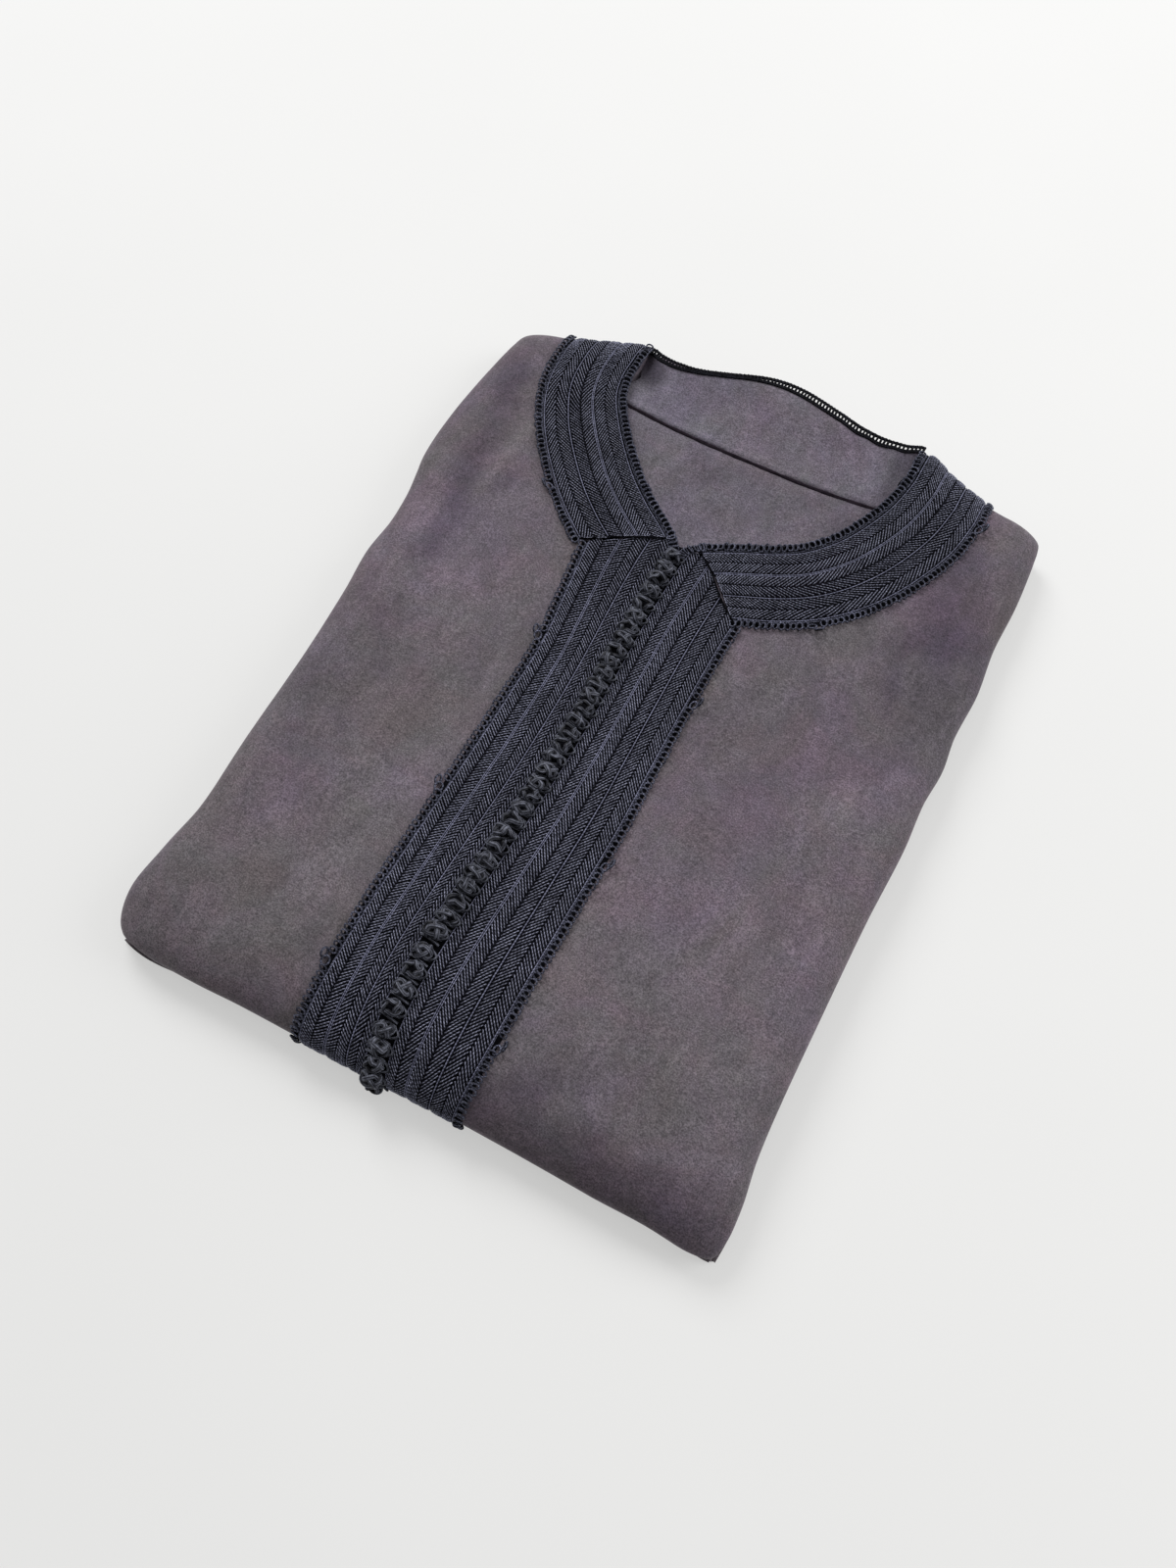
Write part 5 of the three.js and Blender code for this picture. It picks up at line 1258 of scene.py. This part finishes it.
def build_ladder():
    heap = Heap()
    x = np.linspace(-100.0, 84.0, 220)

    def edge(x, d, lift):
        y = back_edge(x) - d
        return back_skin(x, y) + np.array([0, 0, lift])

    reach = lookup(LADDER, "x", "reach", x)
    for d, r, lift in ((0.9, 0.65, 0.3), (-0.2, 0.78, 0.1), (-reach, 0.95, -0.35)):
        heap.add(*tube(edge(x, d, lift), r * (1 + 0.16 * np.sin(x * 2.9)), 7))
    rng = random.Random(41)
    s = -99.5
    while s < 84.5:
        lean = rng.uniform(-0.35, 0.35)
        far = float(lookup(LADDER, "x", "reach", s))
        p = np.array([edge(np.array(s), 0.7, 0.2), edge(np.array(s + lean * 0.5), -far * 0.5, 0.1), edge(np.array(s + lean), -far - 0.75, -0.3)])
        heap.add(*tube(p, rng.uniform(0.66, 0.82), 6))
        s += rng.uniform(2.05, 2.4)
    return heap.build("picot_neck_back_loops", slot="edging", material=LADDER_MAT)


build_ladder()
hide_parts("picot_neck_back")

# ---- Knot buttons ------------------------------------------------------------------------------------------
# centre on the cloth, shift sideways and size of each knot, from the neck down and over the bottom fold
KNOT_ROWS = [
    102.2, 93.3, 85.0, 75.6, 66.1, 56.7, 48.3, 40.6, 32.2, 25.0, 16.7, 8.3, 0.6, -7.8, -15.6, -24.4, -32.8, -41.0, -49.4, -57.8, -65.6, -73.9, -82.2,
    -90.0, -98.0, -108.0, -116.7, -124.4, -134.4, -143.3, -152.2, -163.9, -173.9, -183.9, -194.4, -203.3, -211.0, -219.5, -229.0, -238.5,
]


def knot_strand(leads=3, bights=4, count=84, across=5.0, along=3.85, tall=3.2, r=1.12):
    """A ball knot tied from one cord: the cord runs round and round, over and under itself."""
    u = np.arange(count) * 2 * np.pi / count
    lon, lat = leads * u, 0.98 * np.cos(bights * u)
    shell = 1.0 + 0.13 * np.sin(2 * bights * u + 0.6)
    x, y, z = np.cos(lat) * np.cos(lon), np.cos(lat) * np.sin(lon), np.sin(lat)
    p = np.stack([x * (across - r * 0.7), y * (along - r * 0.7), z * (tall - r * 0.7)], axis=-1) * shell[:, None]
    return tube(p, r, 8, up=unit(p), closed=True)


def ball(across, along, tall, rings=6, seg=10):
    v, q = [], []
    for i in range(rings + 1):
        la = math.pi * (i / rings - 0.5)
        la = clamp(la, -1.5, 1.5)
        for j in range(seg):
            lo = 2 * math.pi * j / seg
            v.append((across * math.cos(la) * math.cos(lo), along * math.cos(la) * math.sin(lo), tall * math.sin(la)))
    for i in range(rings):
        for j in range(seg):
            q.append((i * seg + j, i * seg + (j + 1) % seg, (i + 1) * seg + (j + 1) % seg, (i + 1) * seg + j))
    t = []
    n = len(v)
    v += [(0, 0, -tall), (0, 0, tall)]
    for j in range(seg):
        t.append((n, (j + 1) % seg, j))
        t.append((n + 1, rings * seg + j, rings * seg + (j + 1) % seg))
    return np.array(v), np.array(q), np.array(t)


rng = random.Random(7)
knots, shade_hearts, loops_ = Heap(), Heap(), Heap()
for k, b in enumerate(KNOT_ROWS):
    big = 1.12 if k in (30, 38) else 1.0
    a = float(lookup(PLACKET, "y", "middle", b)) + rng.uniform(-0.5, 0.5) + (-1.2 if k == 30 else 0) - 0.6
    p, n = skin(a, b), outward(a, b)
    up = unit(skin(a, b + 0.6) - skin(a, b - 0.6))
    right = unit(np.cross(up, n))
    tilt = rng.uniform(-0.3, 0.3)
    x, y = right * math.cos(tilt) + up * math.sin(tilt), up * math.cos(tilt) - right * math.sin(tilt)
    centre = p + n * (0.3 + 3.1 * big)
    lead, bight = ((3, 4), (3, 5), (3, 4), (2, 3))[rng.randrange(4)]
    strand = knot_strand(lead, bight, r=1.22 if lead == 3 else 1.5, across=5.4 * rng.uniform(0.94, 1.06), along=4.6 * rng.uniform(0.94, 1.06))
    spin = rng.uniform(0, 6.28)
    squash = np.array([5.0, 3.9, 3.2])
    # spin the weave on the ball, which keeps its outline
    w = strand[0] / squash
    axis = unit(np.array([rng.uniform(-1, 1), rng.uniform(-1, 1), rng.uniform(0.3, 1)]))
    c_, s_ = math.cos(spin), math.sin(spin)
    w = w * c_ + np.cross(axis, w) * s_ + np.outer(w @ axis, axis) * (1 - c_)
    knots.add(place(w * squash, centre, x, y, n, big), strand[1], strand[2], strand[3])
    # a near-black ball inside each knot: painted shade in the gaps between its strands
    core = ball(3.9, 2.9, 2.5)
    shade_hearts.add(place(core[0], centre, x, y, n, big), core[1], core[2])
    # the loop strand that holds each knot, on its wearer's-left side
    u = np.linspace(0, 1, 12)
    for side, reach, lift in ((1, 7.4, 1.7), (-1, 6.3, 1.2)):
        off = right[None, :] * (side * (2.5 + (reach - 2.5) * np.sin(np.pi * u)))[:, None] + up[None, :] * ((u - 0.5) * 6.6 * (1 if side > 0 else 0.9))[:, None]
        arc = p + off + n * (0.7 + lift * np.sin(np.pi * u) ** 0.7)[:, None]
        loops_.add(*tube(arc, 0.68 if side > 0 else 0.55, 6, up=n))
    # where two loops cross the channel, between this knot and the next
    for dy, slant in ((-3.4, 1.1), (-4.7, -0.9)):
        w = np.linspace(-1, 1, 9)
        arc = p + right[None, :] * (5.4 * w)[:, None] + up[None, :] * (dy + slant * w)[:, None] + n * (1.0 + 1.3 * np.cos(w * np.pi / 2))[:, None]
        loops_.add(*tube(arc, 0.82, 6, up=n))
knot_piece = knots.build("knot_buttons", slot="knots", material=KNOT_MAT)
shade_heart_piece = shade_hearts.build("knot_shade_hearts", slot="knots", material=SHADE_BLACK_MAT)
loop_piece = loops_.build("knot_loops", slot="knots", material=KNOT_MAT)
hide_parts(*[f"knot_{k:02d}" for k in range(1, 41)])


# dark strip in the channel under the knots: painted shade where the knots overhang the cloth
def build_channel():
    b = np.append(np.arange(BOTTOM_REACH, 108, 2.0), 112.0)
    m = lookup(PLACKET, "y", "middle", b)
    t = np.linspace(-1, 1, 7)
    a = m[:, None] + t[None, :] * (CHANNEL + 0.4)
    bb = np.broadcast_to(b[:, None], a.shape)
    p, n = skin(a, bb), outward(a, bb)
    verts, quads = closed_wall(p + n * 0.45, p + n * 0.05)
    return make("channel_shade_strip", verts, quads, sharp=60, slot="braid", material=SHADE_BLACK_MAT)


channel = build_channel()

# ---- Band pieces, with sizes listed that nothing uses ------------------------------------------------------


for name, size in (
    ("collar_band_right", (0.047, 0.215)), ("collar_band_left", (0.047, 0.235)), ("placket_band_right", (0.042, 0.345)), ("placket_band_left", (0.044, 0.345)),
):
    ground, extras = pieces[name]

# ---- Floor, light and camera -------------------------------------------------------------------------------
me = bpy.data.meshes.new("floor")
me.from_pydata([(-6, -6, -0.0004), (6, -6, -0.0004), (6, 6, -0.0004), (-6, 6, -0.0004)], [], [(0, 1, 2, 3)])
floor = bpy.data.objects.new("floor", me)
bpy.context.scene.collection.objects.link(floor)
fm = Nodes("floor_painted_glow", Roughness=0.85, Specular_IOR_Level=0.1)
mottle = fm.noise(fm.coords(), 3, 2, 0.5)
fm.link(fm.ramp(mottle, (0.3, (0.315, 0.315, 0.313, 1)), (0.7, (0.33, 0.33, 0.328, 1))), fm.bsdf.inputs["Base Color"])
# painted light: the floor glows, which lifts the shadows on it, a little brighter toward the camera's right and away
# from the camera
fm.bsdf.inputs["Emission Color"].default_value = (1.0, 1.0, 0.99, 1)
where = fm.node("ShaderNodeSeparateXYZ")
fm.link(fm.coords(), where.inputs[0])
glow = fm.math("ADD", fm.math("MULTIPLY", where.outputs[0], 0.04 * 0.886 - 0.05 * 0.463), fm.math("MULTIPLY", where.outputs[1], 0.04 * 0.463 + 0.05 * 0.886))
glow = fm.math("MINIMUM", fm.math("MAXIMUM", fm.math("ADD", glow, 0.486), 0.44), 0.60)
fm.link(glow, fm.bsdf.inputs["Emission Strength"])
me.materials.append(fm.mat)

scene = bpy.context.scene
world = bpy.data.worlds.new("studio") if scene.world is None else scene.world
scene.world = world
world.use_nodes = True
bg = world.node_tree.nodes.get("Background") or world.node_tree.nodes.new("ShaderNodeBackground")
bg.inputs["Strength"].default_value = 1.0
wt = world.node_tree
way = wt.nodes.new("ShaderNodeTexCoord")
parts = wt.nodes.new("ShaderNodeSeparateXYZ")
sky = wt.nodes.new("ShaderNodeValToRGB")
sky.color_ramp.elements[0].position, sky.color_ramp.elements[0].color = 0.0, (0.06, 0.0595, 0.059, 1)
sky.color_ramp.elements[1].position, sky.color_ramp.elements[1].color = 1.0, (0.64, 0.637, 0.632, 1)
wt.links.new(way.outputs["Generated"], parts.inputs[0])


def sky_sum(a, ka, b, kb):
    out = wt.nodes.new("ShaderNodeMath")
    out.operation = "MULTIPLY_ADD"
    out.inputs[1].default_value = ka
    wt.links.new(a, out.inputs[0])
    if b is None:
        out.inputs[2].default_value = kb
    else:
        wt.links.new(b, out.inputs[2])
    return out.outputs[0]


# brightest overhead, and darker toward the side the camera stands on
level = sky_sum(parts.outputs[2], 0.62, None, 0.28)
level = sky_sum(parts.outputs[0], 0.079, level, 0)
level = sky_sum(parts.outputs[1], 0.324, level, 0)
wt.links.new(level, sky.inputs["Fac"])
wt.links.new(sky.outputs["Color"], bg.inputs["Color"])


def area_light(name, location, target, size, power, colour=(1, 1, 1)):
    data = bpy.data.lights.new(name, "AREA")
    data.shape = "DISK"
    data.size = size
    data.energy = power
    data.color = colour
    o = bpy.data.objects.new(name, data)
    o.location = location
    o.rotation_euler = (Vector(target) - Vector(location)).to_track_quat("-Z", "Y").to_euler()
    scene.collection.objects.link(o)
    return o


# forward on the floor, seen from the camera
AHEAD = Vector((-0.463, 0.886, 0.0))
ACROSS = Vector((0.886, 0.463, 0.0))
key = AHEAD * 3.1 - ACROSS * 1.15 + Vector((0, 0, 2.55))
area_light("key", key, (0, 0, 0), 2.1, 140.0)
fill = ACROSS * 2.7 + AHEAD * 0.2 + Vector((0, 0, 1.25))
area_light("fill", fill, (0, 0, 0), 2.2, 50.0)

camera = bpy.data.cameras.new("camera")
camera.sensor_fit = "AUTO"
camera.sensor_width = 36.0
camera.lens = 31.07
camera.clip_start, camera.clip_end = 0.01, 50
eye = bpy.data.objects.new("camera", camera)
eye.location = (0.1529, -0.3161, 0.675)
eye.rotation_euler = (Vector((0.0091, -0.0410, 0.0)) - Vector(eye.location)).to_track_quat("-Z", "Y").to_euler()
scene.collection.objects.link(eye)
scene.camera = eye
scene.view_settings.view_transform = "Standard"
